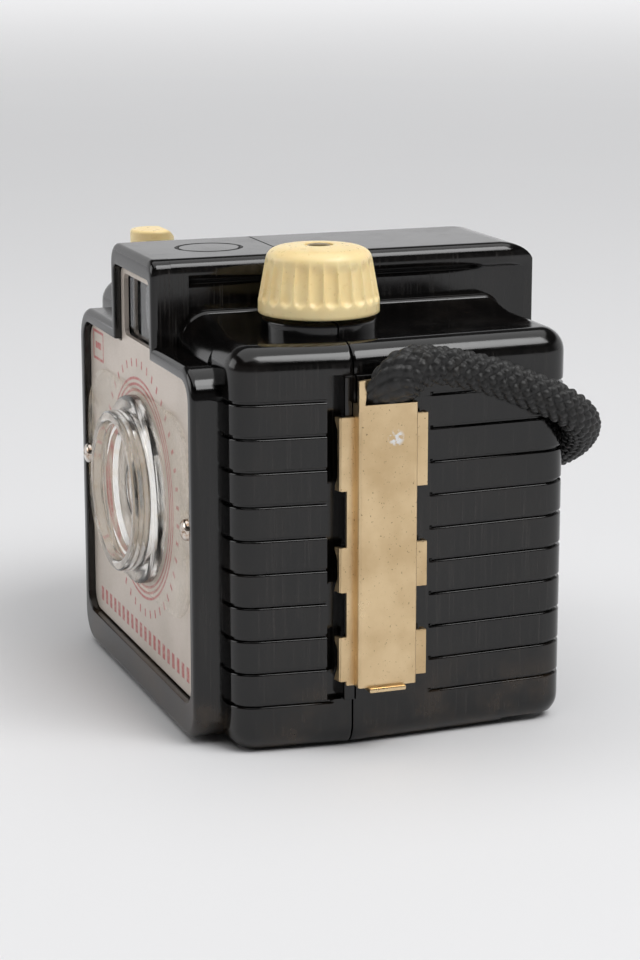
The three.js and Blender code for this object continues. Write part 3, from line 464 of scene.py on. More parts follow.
def front_shell(shell):
    half = keep_inside(shell, block("front_part", WIDE, (DEEP[0], PARTING - SEAM / 2), HIGH))
    bosses = [
        turned("boss", [(0, 3), (radius, 3), (radius, end), (0, end)], x, z, 24, along_y=True)
        for x, z, radius, end in (
            (0, LENS_Z, 8.6, 6), (19.5, LENS_Z + 9.5, 3, 6.8), (-19.5, LENS_Z - 12, 3, 6.8),
            (0, 52.6, 3.2, 11.7), (0, 10, 3.2, 11.7))
    ]

    def lip_band(name, inset, low, start, end):
        band = cut(upright(name, body_outline(inset), low, 58.9),
                   upright("lip_inner", body_outline(4.4), *FLOOR_UP))
        return keep_inside(band, block("lip_limit", WIDE, (PARTING + start, PARTING + end), FLOOR_UP))

    lip = lip_band("lip", WALL - 0.2, 3.7, -4, -1)
    lip_edge = lip_band("lip_edge", WALL + 0.3, 3.8, -2, 2.5)
    join(half, *bosses, lip, lip_edge)
    channels = [block("catch_channel", (side * 40.2, side * 50)[::side], (18.8, 21.2), (8.5, 61.8))
                for side in (1, -1)]
    cut(half,
        turned("lens_hole", [(0, 0), (5.3, 0), (5.3, 5), (6.8, 5), (6.8, 9), (0, 9)],
               0, LENS_Z, 48, along_y=True),
        block("button_stem_way", (BUTTON_X - 2, BUTTON_X + 2), (BUTTON_Y - 2, BUTTON_Y + 2), (45, 60)),
        block("spring_well", (-29, -21.4), (5.2, 13), (52, 63.6)),
        *channels)
    finished(half, "front_half", "bakelite", "front_shell")


def back_shell(shell):
    half = keep_inside(shell, block("back_part", WIDE, (PARTING + SEAM / 2, DEEP[1]), HIGH))
    window = turned("window_hole", [(0, 55), (5, 55), (5, 61), (7.3, 61), (7.3, 70), (0, 70)],
                    0, LENS_Z, 64, along_y=True)
    cut(half, window)
    finished(half, "back_half", "bakelite", "back_shell")


# ---------- materials ----------
class Look:
    """A procedural material: a Principled shader and short calls for the nodes that feed it."""

    def __init__(self, name, color, roughness, metallic=0.0, **sockets):
        self.material = bpy.data.materials.new(name)
        self.material.use_nodes = True
        self.nodes = self.material.node_tree.nodes
        self.links = self.material.node_tree.links
        self.shader = self.nodes["Principled BSDF"]
        self.shader.inputs["Base Color"].default_value = (*color, 1)
        self.shader.inputs["Roughness"].default_value = roughness
        self.shader.inputs["Metallic"].default_value = metallic
        for socket, value in sockets.items():
            self.shader.inputs[socket.replace("_", " ")].default_value = value
        self.place = self.nodes.new("ShaderNodeTexCoord").outputs["Object"]

    def node(self, kind, inputs=(), **settings):
        made = self.nodes.new(kind)
        for key, value in settings.items():
            setattr(made, key, value)
        for key, value in dict(inputs).items():
            if isinstance(value, bpy.types.NodeSocket):
                self.links.new(value, made.inputs[key])
            else:
                made.inputs[key].default_value = value
        return made

    def scaled(self, x, y, z):
        """The piece's own coordinates, scaled in each direction."""
        return self.node("ShaderNodeMapping", {"Vector": self.place, "Scale": (x, y, z)}).outputs[0]

    def noise(self, scale, detail=3.0, rough=0.55, where=None):
        return self.node("ShaderNodeTexNoise", {
            "Vector": where or self.place, "Scale": scale, "Detail": detail, "Roughness": rough,
        }).outputs["Fac"]

    def spread(self, value, low, high, to_low=0.0, to_high=1.0, smooth=True):
        """value mapped from low..high to to_low..to_high, held at the ends."""
        kind = "SMOOTHSTEP" if smooth else "LINEAR"
        return self.node("ShaderNodeMapRange", {
            0: value, 1: low, 2: high, 3: to_low, 4: to_high,
        }, interpolation_type=kind).outputs[0]

    def math(self, operation, a, b=0.0):
        return self.node("ShaderNodeMath", {0: a, 1: b}, operation=operation).outputs[0]

    def apart(self, a, b):
        """How far two values are from each other."""
        return self.math("ABSOLUTE", self.math("SUBTRACT", a, b))

    def within(self, value, middle, half):
        """1 where value is within half of middle."""
        edge = 0.00006
        return self.spread(self.apart(value, middle), half + edge, half - edge)

    def blend(self, factor, a, b):
        made = self.node("ShaderNodeMix", {0: factor}, data_type="RGBA")
        for socket, value in ((made.inputs[6], a), (made.inputs[7], b)):
            if isinstance(value, bpy.types.NodeSocket):
                self.links.new(value, socket)
            else:
                socket.default_value = (*value, 1)
        return made.outputs[2]

    def axes(self):
        """The piece's own X, Y and Z."""
        return self.node("ShaderNodeSeparateXYZ", {0: self.place}).outputs

    def set(self, socket, value):
        self.links.new(value, self.shader.inputs[socket])

    def bump(self, height, distance, strength=1.0):
        made = self.node("ShaderNodeBump", {"Height": height, "Distance": distance, "Strength": strength})
        self.links.new(made.outputs[0], self.shader.inputs["Normal"])


def bakelite():
    """Glossy black moulding: handling film, vertical hairlines on the ribbed sides, brown dust low down."""
    look = Look("bakelite", (0.007, 0.0065, 0.006), 0.12, IOR=1.5)
    smear = look.noise(90, 5, 0.62)
    fine = look.noise(700, 4, 0.6)
    streaks = look.noise(1.0, 4, 0.65, look.scaled(60, 2600, 70))
    facing = look.node("ShaderNodeSeparateXYZ", {0: look.node("ShaderNodeNewGeometry").outputs["Normal"]})
    sideways = look.spread(look.math("ABSOLUTE", facing.outputs[0]), 0.93, 0.985)
    hairline = look.math("MULTIPLY", look.spread(streaks, 0.48, 0.72), sideways)
    low_down = look.spread(look.axes()[2], 0.016, 0.002)
    low = look.math("MULTIPLY", low_down, look.spread(smear, 0.42, 0.68))
    film = look.spread(smear, 0.45, 0.72)
    color = look.blend(film, (0.0018, 0.0016, 0.0016), (0.006, 0.0048, 0.004))
    color = look.blend(look.math("MULTIPLY", hairline, 0.6), color, (0.028, 0.025, 0.023))
    color = look.blend(look.math("MULTIPLY", low, 0.75), color, (0.05, 0.033, 0.02))
    look.set("Base Color", color)
    rough = look.math("ADD", look.spread(smear, 0.35, 0.75, 0.07, 0.17), look.math("MULTIPLY", fine, 0.06))
    look.set("Roughness", look.math("ADD", rough, look.math("MULTIPLY", hairline, 0.12)))
    look.bump(look.math("ADD", look.math("MULTIPLY", streaks, sideways), look.math("MULTIPLY", fine, 0.3)),
              0.00001, 0.35)
    return look.material


def cream_plastic():
    look = Look("cream_plastic", (0.86, 0.68, 0.36), 0.32, IOR=1.5)
    cloud = look.noise(150, 4, 0.6)
    grime = look.noise(900, 3, 0.6)
    color = look.blend(look.spread(cloud, 0.35, 0.7), (0.98, 0.79, 0.42), (0.95, 0.72, 0.35))
    color = look.blend(look.spread(grime, 0.64, 0.78, 0.0, 0.3), color, (0.45, 0.33, 0.17))
    look.set("Base Color", color)
    look.set("Roughness", look.spread(grime, 0.3, 0.7, 0.26, 0.42))
    look.shader.inputs["Subsurface Weight"].default_value = 0.12
    look.shader.inputs["Subsurface Radius"].default_value = (0.003, 0.002, 0.001)
    look.shader.inputs["Subsurface Scale"].default_value = 0.3
    look.bump(grime, 0.00002, 0.3)
    return look.material


def simple_look(name, color, roughness, metallic, second, scale, **sockets):
    """A finish that varies slightly between two colours, and in gloss and height."""
    look = Look(name, color, roughness, metallic, **sockets)
    grain = look.noise(scale, 4, 0.6)
    look.set("Base Color", look.blend(look.spread(grain, 0.35, 0.7), color, second))
    look.set("Roughness", look.spread(grain, 0.3, 0.7, roughness * 0.8, min(1.0, roughness * 1.25)))
    look.bump(grain, 0.00001, 0.5)
    return look.material


def printed_metal():
    """Satin silver plate with red print: rings and marks round the lens, a boxed bar, a row of dashes."""
    look = Look("printed_metal", (0.56, 0.53, 0.48), 0.38, 0.45)
    x, _, z = look.axes()
    up = look.math("SUBTRACT", z, LENS_Z / 1000)
    radius = look.math("SQRT", look.math("ADD", look.math("MULTIPLY", x, x), look.math("MULTIPLY", up, up)))
    rings = [look.spread(look.apart(radius, ring), 0.0003, 0.00018) for ring in (0.017, 0.018, 0.019)]

    def rectangle(middle_x, middle_z, half_x, half_z):
        return look.math("MULTIPLY", look.within(x, middle_x, half_x), look.within(z, middle_z, half_z))

    box_x, box_z, line = -0.0262, 0.0562, 0.0005
    outline = look.math("SUBTRACT", rectangle(box_x, box_z, 0.0034, 0.0027),
                        rectangle(box_x, box_z, 0.0034 - line, 0.0027 - line))
    bar = rectangle(box_x, box_z, 0.0019, 0.0006)
    dashes_per_metre, marks_in_ring = 360, 44
    columns = look.apart(look.math("FRACT", look.math("MULTIPLY", x, dashes_per_metre)), 0.5)
    dashes = look.math("MULTIPLY", look.spread(columns, 0.30, 0.24), rectangle(0, 0.0102, 0.0278, 0.0013))
    turn = look.math("MULTIPLY", look.math("ARCTAN2", up, x), marks_in_ring / (2 * math.pi))
    marks = look.math("MULTIPLY", look.spread(look.apart(look.math("FRACT", turn), 0.5), 0.14, 0.08),
                      look.spread(look.apart(radius, 0.0217), 0.0008, 0.0006))
    ink = marks
    for printed in (*rings, outline, bar, dashes):
        ink = look.math("MAXIMUM", ink, printed)
    grain = look.noise(1.0, 4, 0.6, look.scaled(900, 900, 3000))
    cloud = look.noise(60, 3, 0.5)
    metal = look.blend(look.spread(cloud, 0.35, 0.7), (0.70, 0.62, 0.55), (0.60, 0.53, 0.46))
    worn = look.spread(look.noise(1400, 3, 0.6), 0.35, 0.6, 0.55, 0.9)
    look.set("Base Color", look.blend(look.math("MULTIPLY", ink, worn), metal, (0.50, 0.07, 0.07)))
    look.set("Roughness", look.spread(grain, 0.3, 0.7, 0.32, 0.46))
    look.bump(grain, 0.00001, 0.4)
    return look.material


def clear_plastic():
    look = Look("clear_plastic", (0.97, 0.95, 0.90), 0.05, IOR=1.38, Transmission_Weight=1.0)
    dirt = look.noise(420, 5, 0.65)
    dusty = look.spread(dirt, 0.5, 0.75)
    look.set("Base Color", look.blend(dusty, (0.98, 0.965, 0.93), (0.86, 0.74, 0.57)))
    look.set("Roughness", look.spread(dirt, 0.4, 0.75, 0.06, 0.26))
    return look.material


def clear_film():
    """The thin flange: clear enough to show the print under it, warm towards its dusty edge."""
    look = Look("clear_film", (0.93, 0.86, 0.72), 0.08, IOR=1.49, Alpha=0.2)
    dirt = look.noise(380, 5, 0.65)
    x, _, z = look.axes()
    far_out = look.math("MAXIMUM", look.spread(look.math("ABSOLUTE", x), 0.019, 0.031),
                        look.spread(look.apart(z, LENS_Z / 1000), 0.014, 0.0175))
    grime = look.math("MULTIPLY", look.spread(dirt, 0.42, 0.7), far_out)
    look.set("Base Color", look.blend(grime, (0.92, 0.87, 0.76), (0.55, 0.40, 0.22)))
    look.set("Alpha", look.spread(grime, 0.0, 1.0, 0.08, 0.42, smooth=False))
    return look.material


def lens_glass():
    look = Look("lens_glass", (0.97, 0.98, 1.0), 0.02, IOR=1.52, Transmission_Weight=1.0)
    haze = look.noise(260, 4, 0.6)
    look.set("Roughness", look.spread(haze, 0.4, 0.8, 0.01, 0.09))
    return look.material


def gilt_sheet():
    """Gilt lacquered steel: satin, dark specks, and a spot worn to bare metal near the top."""
    look = Look("gilt_sheet", (0.66, 0.47, 0.20), 0.34, 1.0)
    cloud = look.noise(110, 4, 0.6)
    specks = look.noise(2600, 2, 0.5)
    drawn = look.noise(1.0, 3, 0.5, look.scaled(400, 1800, 60))
    color = look.blend(look.spread(cloud, 0.3, 0.72), (0.76, 0.58, 0.35), (0.66, 0.48, 0.27))
    color = look.blend(look.spread(specks, 0.66, 0.76, 0.0, 0.7), color, (0.16, 0.09, 0.045))
    _, y, z = look.axes()
    across = look.math("SUBTRACT", y, -0.0025)
    above = look.math("SUBTRACT", z, 0.0520)
    near = look.math("ADD", look.math("MULTIPLY", across, across), look.math("MULTIPLY", above, above))
    torn = look.noise(900, 3, 0.6)
    spot = look.math("MULTIPLY", look.spread(near, 0.0000025, 0.0000004), look.spread(torn, 0.44, 0.56))
    color = look.blend(spot, color, (0.86, 0.86, 0.86))
    look.set("Base Color", color)
    look.set("Roughness", look.spread(cloud, 0.3, 0.7, 0.27, 0.42))
    look.bump(look.math("ADD", drawn, look.math("MULTIPLY", specks, 0.5)), 0.000015, 0.5)
    return look.material


def braided_cord():
    look = Look("braided_cord", (0.012, 0.012, 0.012), 0.5)
    fibre = look.noise(2600, 3, 0.65)
    cloud = look.noise(240, 3, 0.5)
    color = look.blend(look.spread(fibre, 0.35, 0.75), (0.002, 0.002, 0.002), (0.010, 0.0095, 0.009))
    faded = look.spread(cloud, 0.55, 0.75, 0.0, 0.5)
    look.set("Base Color", look.blend(faded, color, (0.016, 0.013, 0.010)))
    look.shader.inputs["Sheen Weight"].default_value = 0.03
    look.bump(fibre, 0.00012, 0.6)
    return look.material


LOOKS = {
    "bakelite": bakelite(),
    "cream_plastic": cream_plastic(),
    "printed_metal": printed_metal(),
    "clear_plastic": clear_plastic(),
    "clear_film": clear_film(),
    "lens_glass": lens_glass(),
    "gilt_sheet": gilt_sheet(),
    "braided_cord": braided_cord(),
    "red_celluloid": simple_look("red_celluloid", (0.45, 0.012, 0.01), 0.12, 0.0, (0.30, 0.008, 0.008), 200,
                                 Transmission_Weight=0.7),
}
# name: colour, roughness, metallic, second colour, scale of its grain
PLAIN_FINISHES = {
    "chromed_screws": ((0.80, 0.78, 0.74), 0.14, 1.0, (0.45, 0.30, 0.20), 900),
    "steel_sheet": ((0.56, 0.55, 0.53), 0.34, 1.0, (0.42, 0.40, 0.37), 200),
    "spring_steel": ((0.34, 0.34, 0.36), 0.26, 1.0, (0.20, 0.19, 0.19), 500),
    "black_enamel": ((0.012, 0.012, 0.012), 0.42, 0.0, (0.03, 0.028, 0.026), 400),
    "inner_moulding": ((0.016, 0.015, 0.014), 0.5, 0.0, (0.03, 0.026, 0.022), 250),
    "brass": ((0.62, 0.46, 0.20), 0.3, 1.0, (0.40, 0.27, 0.11), 450),
}
for finish, values in PLAIN_FINISHES.items():
    LOOKS[finish] = simple_look(finish, *values)


# ---------- pieces on the front ----------
def faceplate():
    outline = front_outline(RIM_WIDTH + 0.3)
    soft = shifted(outline, 0.15)
    plate = loft("faceplate_printed", [
        [(x, y, z) for x, z in ring] for y, ring in ((0.8, outline), (0.15, outline), (0.0, soft))])
    cut(plate,
        frontal("window", rounded_rect(*PLATE_WINDOW, 1.2), -1, 2),
        turned("lens_hole", [(0, -1), (5.6, -1), (5.6, 2), (0, 2)], 0, LENS_Z, 48, along_y=True),
        *[turned("screw_hole", [(0, -1), (1.3, -1), (1.3, 2), (0, 2)], side * SCREW_X, LENS_Z, 24,
                 along_y=True) for side in (1, -1)])
    finished(plate, "front_half", "printed_metal", "faceplate")


def closed_ring(name, profile, x, z, sides=96):
    """A ring about an axis along Y, from a closed profile of [radius, y] points."""
    rings = []
    for radius, y in profile:
        rings.append([(x + radius * math.cos(a), y, z + radius * math.sin(a))
                      for a in (2 * math.pi * i / sides for i in range(sides))])
    return loft(name, rings, closed=True)


def lens_cover():
    """Clear flange with rounded ends, and the stepped cup that rises from its middle."""
    rings = []
    for y, inset in ((-0.3, 0.0), (-0.6, 0.0), (-0.78, 0.08), (-0.85, 0.3)):
        outline = rounded_rect(-31.6 + inset, 31.6 - inset, LENS_Z - 17.2 + inset, LENS_Z + 17.2 - inset,
                               12 - inset, 16)
        rings.append([(x, y, z) for x, z in outline])
    flange = loft("lens_cover_flange", rings)
    cut(flange,
        turned("cover_hole", [(0, -2), (16.3, -2), (16.3, 1), (0, 1)], 0, LENS_Z, 96, along_y=True),
        *[turned("screw_hole", [(0, -3), (1.3, -3), (1.3, 1), (0, 1)], side * SCREW_X, LENS_Z, 24,
                 along_y=True) for side in (1, -1)])
    finished(flange, "front_half", "clear_plastic", "lens_cover", look="clear_film")
    cup = closed_ring("lens_cover_cup", [
        (16.2, -0.3), (16.2, -1.4), (16.1, -1.75), (15.8, -2.05), (15.3, -2.2), (14.4, -2.25),
        (13.95, -2.4), (13.8, -2.7), (13.8, -4.5), (13.7, -4.95), (13.4, -5.2), (12.5, -5.2),
        (12.1, -5.05), (11.95, -4.75), (11.8, -4.0), (11.65, -3.85), (11.5, -3.65), (11.4, -3.0),
        (11.2, -2.85), (11.05, -2.65), (10.95, -2.0), (10.75, -1.85), (10.55, -1.65), (10.3, -1.2),
        (5.5, -1.2), (5.1, -1.0), (5, -0.3)], 0, LENS_Z)
    finished(cup, "front_half", "clear_plastic", "lens_cover")


def screw_head(name, x, z):
    screw = turned(name, [
        (0, -2.0), (0.6, -1.98), (1.1, -1.88), (1.5, -1.68), (1.75, -1.35), (1.8, -0.9), (1.0, -0.9),
        (1.0, 2.6), (0, 3.1)], x, z, 48, along_y=True)
    cut(screw, block("slot", (x - 3, x + 3), (-3, -1.6), (z - 0.24, z + 0.24)))
    return screw


def finder_front_lens():
    """Plano-concave window: flat in front, hollow behind."""
    wide, low, high, front, thick = 8.9, 61.0, 72.1, POCKET_FLOOR + 0.1, 1.7
    curve, curve_z = 24, 66.5       # radius and height of the hollow's sphere
    steps = 24
    vertices, faces = [], []
    for side in (0, 1):
        for i in range(steps + 1):
            for j in range(steps + 1):
                x = -wide + 2 * wide * i / steps
                z = low + (high - low) * j / steps
                reach = curve ** 2 - x ** 2 - (z - curve_z) ** 2
                hollow = POCKET_FLOOR + 25 - math.sqrt(reach)
                vertices.append((x, front if side == 0 else min(front + thick, hollow), z))
    row = steps + 1
    for i in range(steps):
        for j in range(steps):
            a = i * row + j
            for side in (0, row * row):
                faces.append((side + a, side + a + 1, side + a + row + 1, side + a + row))
    for k in range(steps):
        for a, b in ((k, k + 1), (steps * row + k, steps * row + k + 1),
                     (k * row, (k + 1) * row), (k * row + steps, (k + 1) * row + steps)):
            faces.append((a, b, b + row * row, a + row * row))
    return mesh_object("finder_window", vertices, faces)


# ---------- controls ----------
def winding_knob():
    """Fluted, slightly tapered cream knob with a plain rim below the flutes' rounded ends."""
    flutes, per_flute = 24, 14
    low, high, radius = KNOB_LOW, KNOB_HIGH, KNOB_RADIUS
    outer = [(radius - 0.15, low), (radius, low + 0.15)]
    outer += [(radius, low + 0.15 + 1.85 * i / 4) for i in range(1, 5)]
    outer += [(radius - 1.15 * i / 30, low + 2.0 + (high - 2.6 - low - 2.0) * i / 30) for i in range(1, 31)]
    outer += bezier(outer[-1], (radius - 1.35, high - 0.7), (radius - 3.6, high - 0.35), 10)
    outer += bezier(outer[-1], (radius - 6, high - 0.05), (2.6, high), 5)
    inner = [(2.35, high - 0.1), (2.3, high - 0.8), (1.3, high - 0.8), (1.3, low + 6.4), (2.3, low + 6.4),
             (2.3, low + 0.5), (3.7, low + 0.5), (3.7, low)]
    half_width, end, fade = 1.08, low + 3.15, high - 2.5
    rings = []
    for r, z in outer + inner:
        ring = []
        for i in range(flutes * per_flute):
            angle = 2 * math.pi * i / (flutes * per_flute)
            offset = ((i / per_flute) % 1 - 0.5) * 2 * math.pi * r / flutes / half_width
            below = max(0.0, end - z) / half_width
            hollow = max(0.0, 1 - offset * offset - below * below) ** 0.5
            depth = 0.62 * hollow * (1 - smoothstep(fade - 1.4, fade + 0.9, z)) if r > 5 else 0.0
            ring.append((KNOB_X + (r - depth) * math.cos(angle), KNOB_Y + (r - depth) * math.sin(angle), z))
        rings.append(ring)
    return loft("winding_knob_fluted", rings, closed=True)


def shutter_button():
    """Round cream cap with a slope at its back, on a length of stem of the same moulding."""
    low, high, radius = BUTTON_LOW, BUTTON_HIGH, BUTTON_RADIUS
    profile = [(0, 46.9), (1.6, 46.9), (1.6, 61), (3.4, 61), (3.4, 62), (1.6, 62), (1.6, low),
               (radius - 0.15, low), (radius, low + 0.2), (radius, high - 0.6)]
    profile += bezier(profile[-1], (radius, high), (radius - 0.6, high), 5) + [(0, high)]
    cap = turned("shutter_button_cap", profile, BUTTON_X, BUTTON_Y, 48)
    wedge_start = BUTTON_Y + 2
    wedge = [(wedge_start, high + 0.02), (wedge_start + 0.4, high - 0.25), (wedge_start + 4.2, high - 4),
             (wedge_start + 4.2, high + 1), (wedge_start, high + 1)]
    slope = loft("button_slope", [[(x, y, z) for y, z in wedge] for x in (BUTTON_X - 6, BUTTON_X + 6)])
    return cut(cap, slope)


# ---------- side catches ----------
def side_catch():
    """Folded sheet-metal slide: a shallow channel with three tabs on each edge and a thumb tongue."""
    face, low, high = CATCH_FACE, CATCH_LOW, CATCH_HIGH
    base, sheet, front, back, bend = 43.3, 0.7, 22.5, 32.6, 0.75
    front_tab, rear_tab, lug_top, stop = 20.0, 35.0, 61.7, 49.3

    section = [(base, front)]
    section += bezier((face - bend, front), (face, front), (face, front + bend), 6)
    section += bezier((face, back - bend), (face, back), (face - bend, back), 6)
    section += [(base, back)]
    slide = upright("channel", section, low, high)
    cut(slide, block("hollow", (base - 1, face - sheet), (front + sheet, back - sheet),
                     (low - 1, high + 1), 0.25))
    lug = [(front, high - 1), (front + 0.9, high - 1), (front + 1.2, high + 1.6),
           (front + 2.6, lug_top - 1.2), (front + 3.4, lug_top), (front, lug_top - 0.3)]
    pieces = [
        loft("lug", [[(x, y, z) for y, z in lug] for x in (face - sheet, face)]),
        block("front_flange", (base, base + sheet), (front - 1.3, front + 0.35), (low, 55.4), 0.15),
        block("tongue", (base, face + 1), (front + 1.6, back - 2.2), (low - 0.7, low + 0.1), 0.25),
        block("cord_stop", (base, face - 0.35), (front + 0.35, back - 0.35), (stop - sheet, stop)),
    ]
    thick = (base, base + sheet)
    for tab in ((12, 19.5), (26.8, 34.3), (43.4, 55.4)):
        pieces += [
            block("front_tab", thick, (front_tab + 0.2, front + 0.35), tab, 0.18),
            block("rear_tab", thick, (back - 0.35, rear_tab), tab, 0.18),
            block("rear_lip", (base - 1, base + sheet), (rear_tab - sheet, rear_tab), tab, 0.14),
            curled_lip(base, sheet, front_tab, *tab),
        ]
    return join(slide, *pieces)


def curled_lip(base, sheet, y, low, high):
    """The front tab's edge rolled inwards: deeper at its two ends than in its middle."""
    rings = []
    steps = 18
    for i in range(steps + 1):
        z = low + 0.1 + (high - low - 0.2) * i / steps
        from_end = min(z - low, high - z)
        depth = 0.35 + 0.55 * (1 - smoothstep(0.4, 2.4, from_end))
        curl = 0.25 * (1 - smoothstep(0.4, 2.4, from_end))
        rings.append([(base + sheet, y + 0.95, z), (base + sheet, y + 0.4, z),
                      (base + sheet - 0.3, y + 0.05, z),
                      (base - depth * 0.5, y - curl * 0.5, z), (base - depth, y - curl, z),
                      (base - depth, y - curl + 0.5, z), (base - depth * 0.4, y + 0.55, z),
                      (base, y + 0.75, z), (base, y + 0.95, z)])
    return loft("curled_lip", rings)


# ---------- carrying cord ----------
def spline_points(route, step):
    """Catmull-Rom points through the route, about step apart."""
    ends = [route[0] * 2 - route[1], *route, route[-1] * 2 - route[-2]]
    points = []
    for a, b, c, d in zip(ends, ends[1:], ends[2:], ends[3:]):
        pieces = max(1, round((c - b).length / step))
        for i in range(pieces):
            t = i / pieces
            points.append(0.5 * ((2 * b) + (c - a) * t + (2 * a - 5 * b + 4 * c - d) * t * t
                                 + (3 * b - a - 3 * c + d) * t ** 3))
    points.append(route[-1])
    return points


def braid_height(along, around):
    """Height of a two-over-two-under braid at a place along and around the cord, in strand widths."""
    a, b = around + along, around - along
    u, v = a % 1, b % 1
    over = (math.floor(a) + math.floor(b)) % 2 == 0
    across, length = (u, v) if over else (v, u)
    return math.sin(math.pi * across) ** 0.6 * (0.45 + 0.55 * math.sin(math.pi * length))


def cord_section(travelled):
    """Half width and half thickness: pressed flat inside the catch, round further along."""
    half_width = 3.4 + 1.2 * smoothstep(6.6, 9.5, travelled) - 1.6 * smoothstep(10, 20, travelled)
    half_thickness = 0.85 + (CORD_RADIUS - 0.85) * smoothstep(6.8, 13, travelled)
    return half_width, half_thickness


def braided_tube(name, route):
    """A cord whose mesh carries the relief of its braid."""
    step, sides, strands, pitch, relief = 0.2, 96, 8, 2.2, 0.75
    points = spline_points([Vector(p) for p in route], step)
    normal = Vector((0, 1, 0))
    rings, travelled = [], 0.0
    for i, point in enumerate(points):
        tangent = (points[min(i + 1, len(points) - 1)] - points[max(i - 1, 0)]).normalized()
        normal = (normal - tangent * normal.dot(tangent)).normalized()
        side = tangent.cross(normal)
        if i:
            travelled += (point - points[i - 1]).length
        half_width, half_thickness = cord_section(travelled)
        ring = []
        for k in range(sides):
            angle = 2 * math.pi * k / sides
            swell = relief * (braid_height(travelled / pitch, strands * k / sides) - 0.75)
            flat_swell = swell * half_thickness / CORD_RADIUS
            ring.append(point + normal * ((half_width + swell) * math.cos(angle))
                        + side * ((half_thickness + flat_swell) * math.sin(angle)))
        rings.append(ring)
    tube = loft(name, rings)
    length = sum((b - a).length for a, b in zip(points, points[1:]))
    return tube, points, length


def carrying_cord(side):
    """Half of the cord, from inside its catch to the middle behind the camera."""
    label = "right" if side > 0 else "left"
    route = [(side * x, y, z) for x, y, z in CORD_ROUTE]
    tube, points, length = braided_tube(f"cord_{label}", route)
    in_row_frame(tube, 180)
    tube.data.materials.append(LOOKS["braided_cord"])
    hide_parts(f"strap_{label}")
    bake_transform(tube)


# ---------- build ----------
for side in (1, -1):
    carrying_cord(side)

whole = complete_shell()
front_shell(copy_of(whole, "front_shell_moulding"))
whole.name = "back_shell_moulding"
back_shell(whole)

faceplate()
lens_cover()
for side, label in ((1, "right"), (-1, "left")):
    finished(screw_head(f"cover_screw_{label}", side * SCREW_X, LENS_Z), "front_half",
             "chromed_screws", f"lens_screw_{label}")
finished(turned("lens_meniscus", [
    (0, 1.6), (1.3, 1.64), (2.6, 1.77), (3.9, 1.96), (5, 2.2), (5, 3.6), (3.9, 3.78), (2.6, 3.9),
    (1.3, 3.97), (0, 4)], 0, LENS_Z, 64, along_y=True),
         "front_half", "lens_glass", "taking_lens")
finished(finder_front_lens(), "front_half", "lens_glass", "viewfinder_front_lens")

finished(winding_knob(), "knob", "cream_plastic", "winding_knob", crease=60)
finished(turned("knob_rivet_head", [
    (0, KNOB_LOW + 6.6), (1, KNOB_LOW + 6.6), (1, KNOB_HIGH - 0.5), (1.9, KNOB_HIGH - 0.5),
    (2.0, KNOB_HIGH - 0.35), (1.9, KNOB_HIGH - 0.15), (1.5, KNOB_HIGH), (0.9, KNOB_HIGH + 0.07),
    (0, KNOB_HIGH + 0.1)], KNOB_X, KNOB_Y, 48), "knob", "brass", "knob_rivet")
finished(shutter_button(), "button", "cream_plastic", "shutter_button")

catch = side_catch()
finished(copy_of(catch, "catch_left_folded", mirrored=True), "left_catch", "gilt_sheet", "catch_left")
catch.name = "catch_right_folded"
finished(catch, "right_catch", "gilt_sheet", "catch_right")

finished(turned("window_pane", [(0, 61.3), (6.9, 61.3), (6.9, 61.8), (0, 61.8)],
                0, LENS_Z, 64, along_y=True),
         "back_half", "red_celluloid", "red_window")
finished(closed_ring("window_ring", [
    (5.1, 62.1), (7, 62.1), (7, 62.6), (6.8, 62.7), (5.6, 62.7), (5.1, 62.35)], 0, LENS_Z, 72),
         "back_half", "inner_moulding", "red_window_ring")

# carried-over CAD nodes keep their shape and get their slot's procedural material
for part in frame["record"]["subparts"]:
    node = frame["nodes"][part["node"]]
    node.data.materials.clear()
    node.data.materials.append(LOOKS[part["material_slot"]])

# ---------- floor, light and camera ----------
bpy.ops.mesh.primitive_circle_add(vertices=96, radius=9, fill_type="NGON", location=(0, 0, 0))
floor = bpy.context.object
floor.name = "studio_floor"
ground = Look("studio_floor", (0.78, 0.78, 0.79), 0.7)
ground.set("Base Color", ground.blend(ground.noise(6, 2), (0.775, 0.775, 0.785), (0.79, 0.79, 0.80)))
floor_x, floor_y = ground.axes()[:2]
away = ground.math("SQRT", ground.math("ADD", ground.math("MULTIPLY", floor_x, floor_x),
                                       ground.math("MULTIPLY", floor_y, floor_y)))
ground.shader.inputs["Emission Color"].default_value = (1, 1, 1.01, 1)
ground.set("Emission Strength", ground.spread(away, 0.4, 3.0, 0.0, 0.6))
floor.data.materials.append(ground.material)


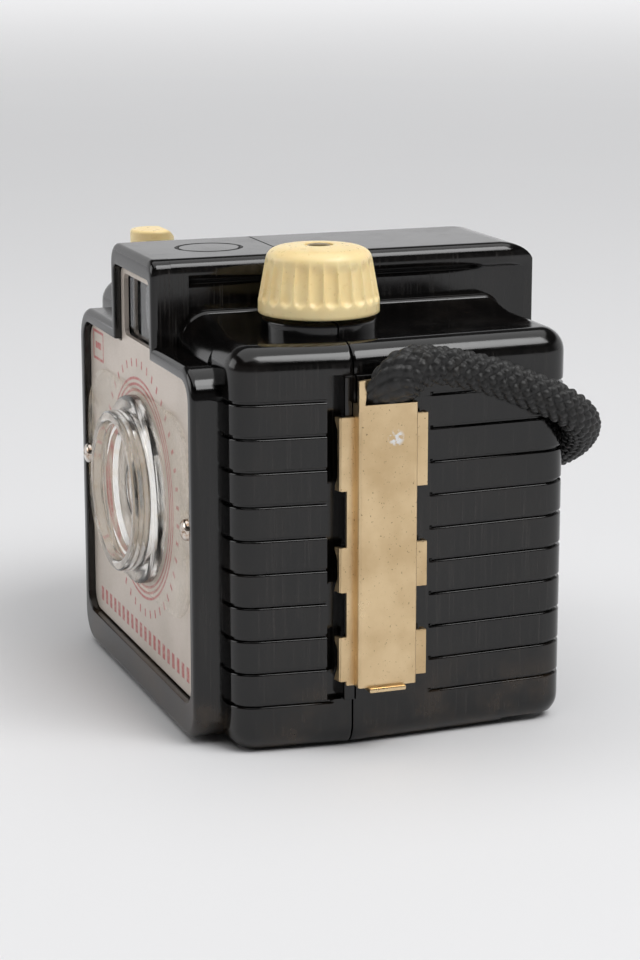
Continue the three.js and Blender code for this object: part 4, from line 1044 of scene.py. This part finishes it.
def studio_world():
    """Pale backdrop beyond the object, dark room on the camera's side, seen only in reflections."""
    world = bpy.data.worlds.new("studio")
    world.use_nodes = True
    bpy.context.scene.world = world
    nodes, links = world.node_tree.nodes, world.node_tree.links
    background = nodes["Background"]
    direction = nodes.new("ShaderNodeTexCoord").outputs["Generated"]
    across = nodes.new("ShaderNodeVectorMath")
    across.operation = "DOT_PRODUCT"
    across.inputs[1].default_value = (-0.94, 0.34, 0)
    links.new(direction, across.inputs[0])
    split = nodes.new("ShaderNodeSeparateXYZ")
    links.new(direction, split.inputs[0])

    def ramp(value, low, high, to_low, to_high):
        made = nodes.new("ShaderNodeMapRange")
        made.interpolation_type = "SMOOTHSTEP"
        links.new(value, made.inputs[0])
        for index, number in enumerate((low, high, to_low, to_high), 1):
            made.inputs[index].default_value = number
        return made.outputs[0]

    def times(a, b):
        made = nodes.new("ShaderNodeMath")
        made.operation = "MULTIPLY"
        links.new(a, made.inputs[0])
        links.new(b, made.inputs[1])
        return made.outputs[0]

    backdrop = times(ramp(across.outputs["Value"], -0.3, 0.35, 0.1, 0.8),
                     ramp(split.outputs[2], 0.3, 0.5, 1.0, 0.07))
    seen = nodes.new("ShaderNodeLightPath").outputs["Is Camera Ray"]
    choose = nodes.new("ShaderNodeMix")
    links.new(seen, choose.inputs[0])
    links.new(backdrop, choose.inputs[2])
    choose.inputs[3].default_value = 0.74
    links.new(choose.outputs[0], background.inputs["Strength"])
    background.inputs["Color"].default_value = (1.0, 1.0, 1.01, 1)


def softbox(name, place, target, width, height, power):
    light = bpy.data.lights.new(name, "AREA")
    light.shape = "RECTANGLE"
    light.size, light.size_y = width, height
    light.energy = power
    obj = bpy.data.objects.new(name, light)
    obj.location = place
    obj.rotation_euler = (Vector(target) - Vector(place)).to_track_quat("-Z", "Y").to_euler()
    obj.visible_camera = False
    bpy.context.collection.objects.link(obj)


studio_world()
softbox("overhead_softbox", (0.2, 0, 3.0), (0.2, 0, 0), 4.3, 4.3, 74)
softbox("near_side_softbox", (0.78, 0.5, 1.25), (0, 0, 0.05), 0.95, 0.8, 14)
softbox("front_softbox", (-0.25, -0.75, 0.35), (0, 0, 0.03), 0.5, 0.4, 1.2)

camera_data = bpy.data.cameras.new("camera")
camera_data.lens = FOCAL_LENGTH
camera_data.sensor_width = SENSOR_WIDTH
camera_data.clip_start, camera_data.clip_end = 0.01, 50
camera = bpy.data.objects.new("camera", camera_data)
camera.location = CAMERA_PLACE
view = Vector((-math.sin(CAMERA_AZIMUTH) * math.cos(CAMERA_ELEVATION),
               math.cos(CAMERA_AZIMUTH) * math.cos(CAMERA_ELEVATION),
               -math.sin(CAMERA_ELEVATION)))
camera.rotation_euler = view.to_track_quat("-Z", "Y").to_euler()
bpy.context.collection.objects.link(camera)
bpy.context.scene.camera = camera
bpy.context.scene.view_settings.view_transform = "Standard"
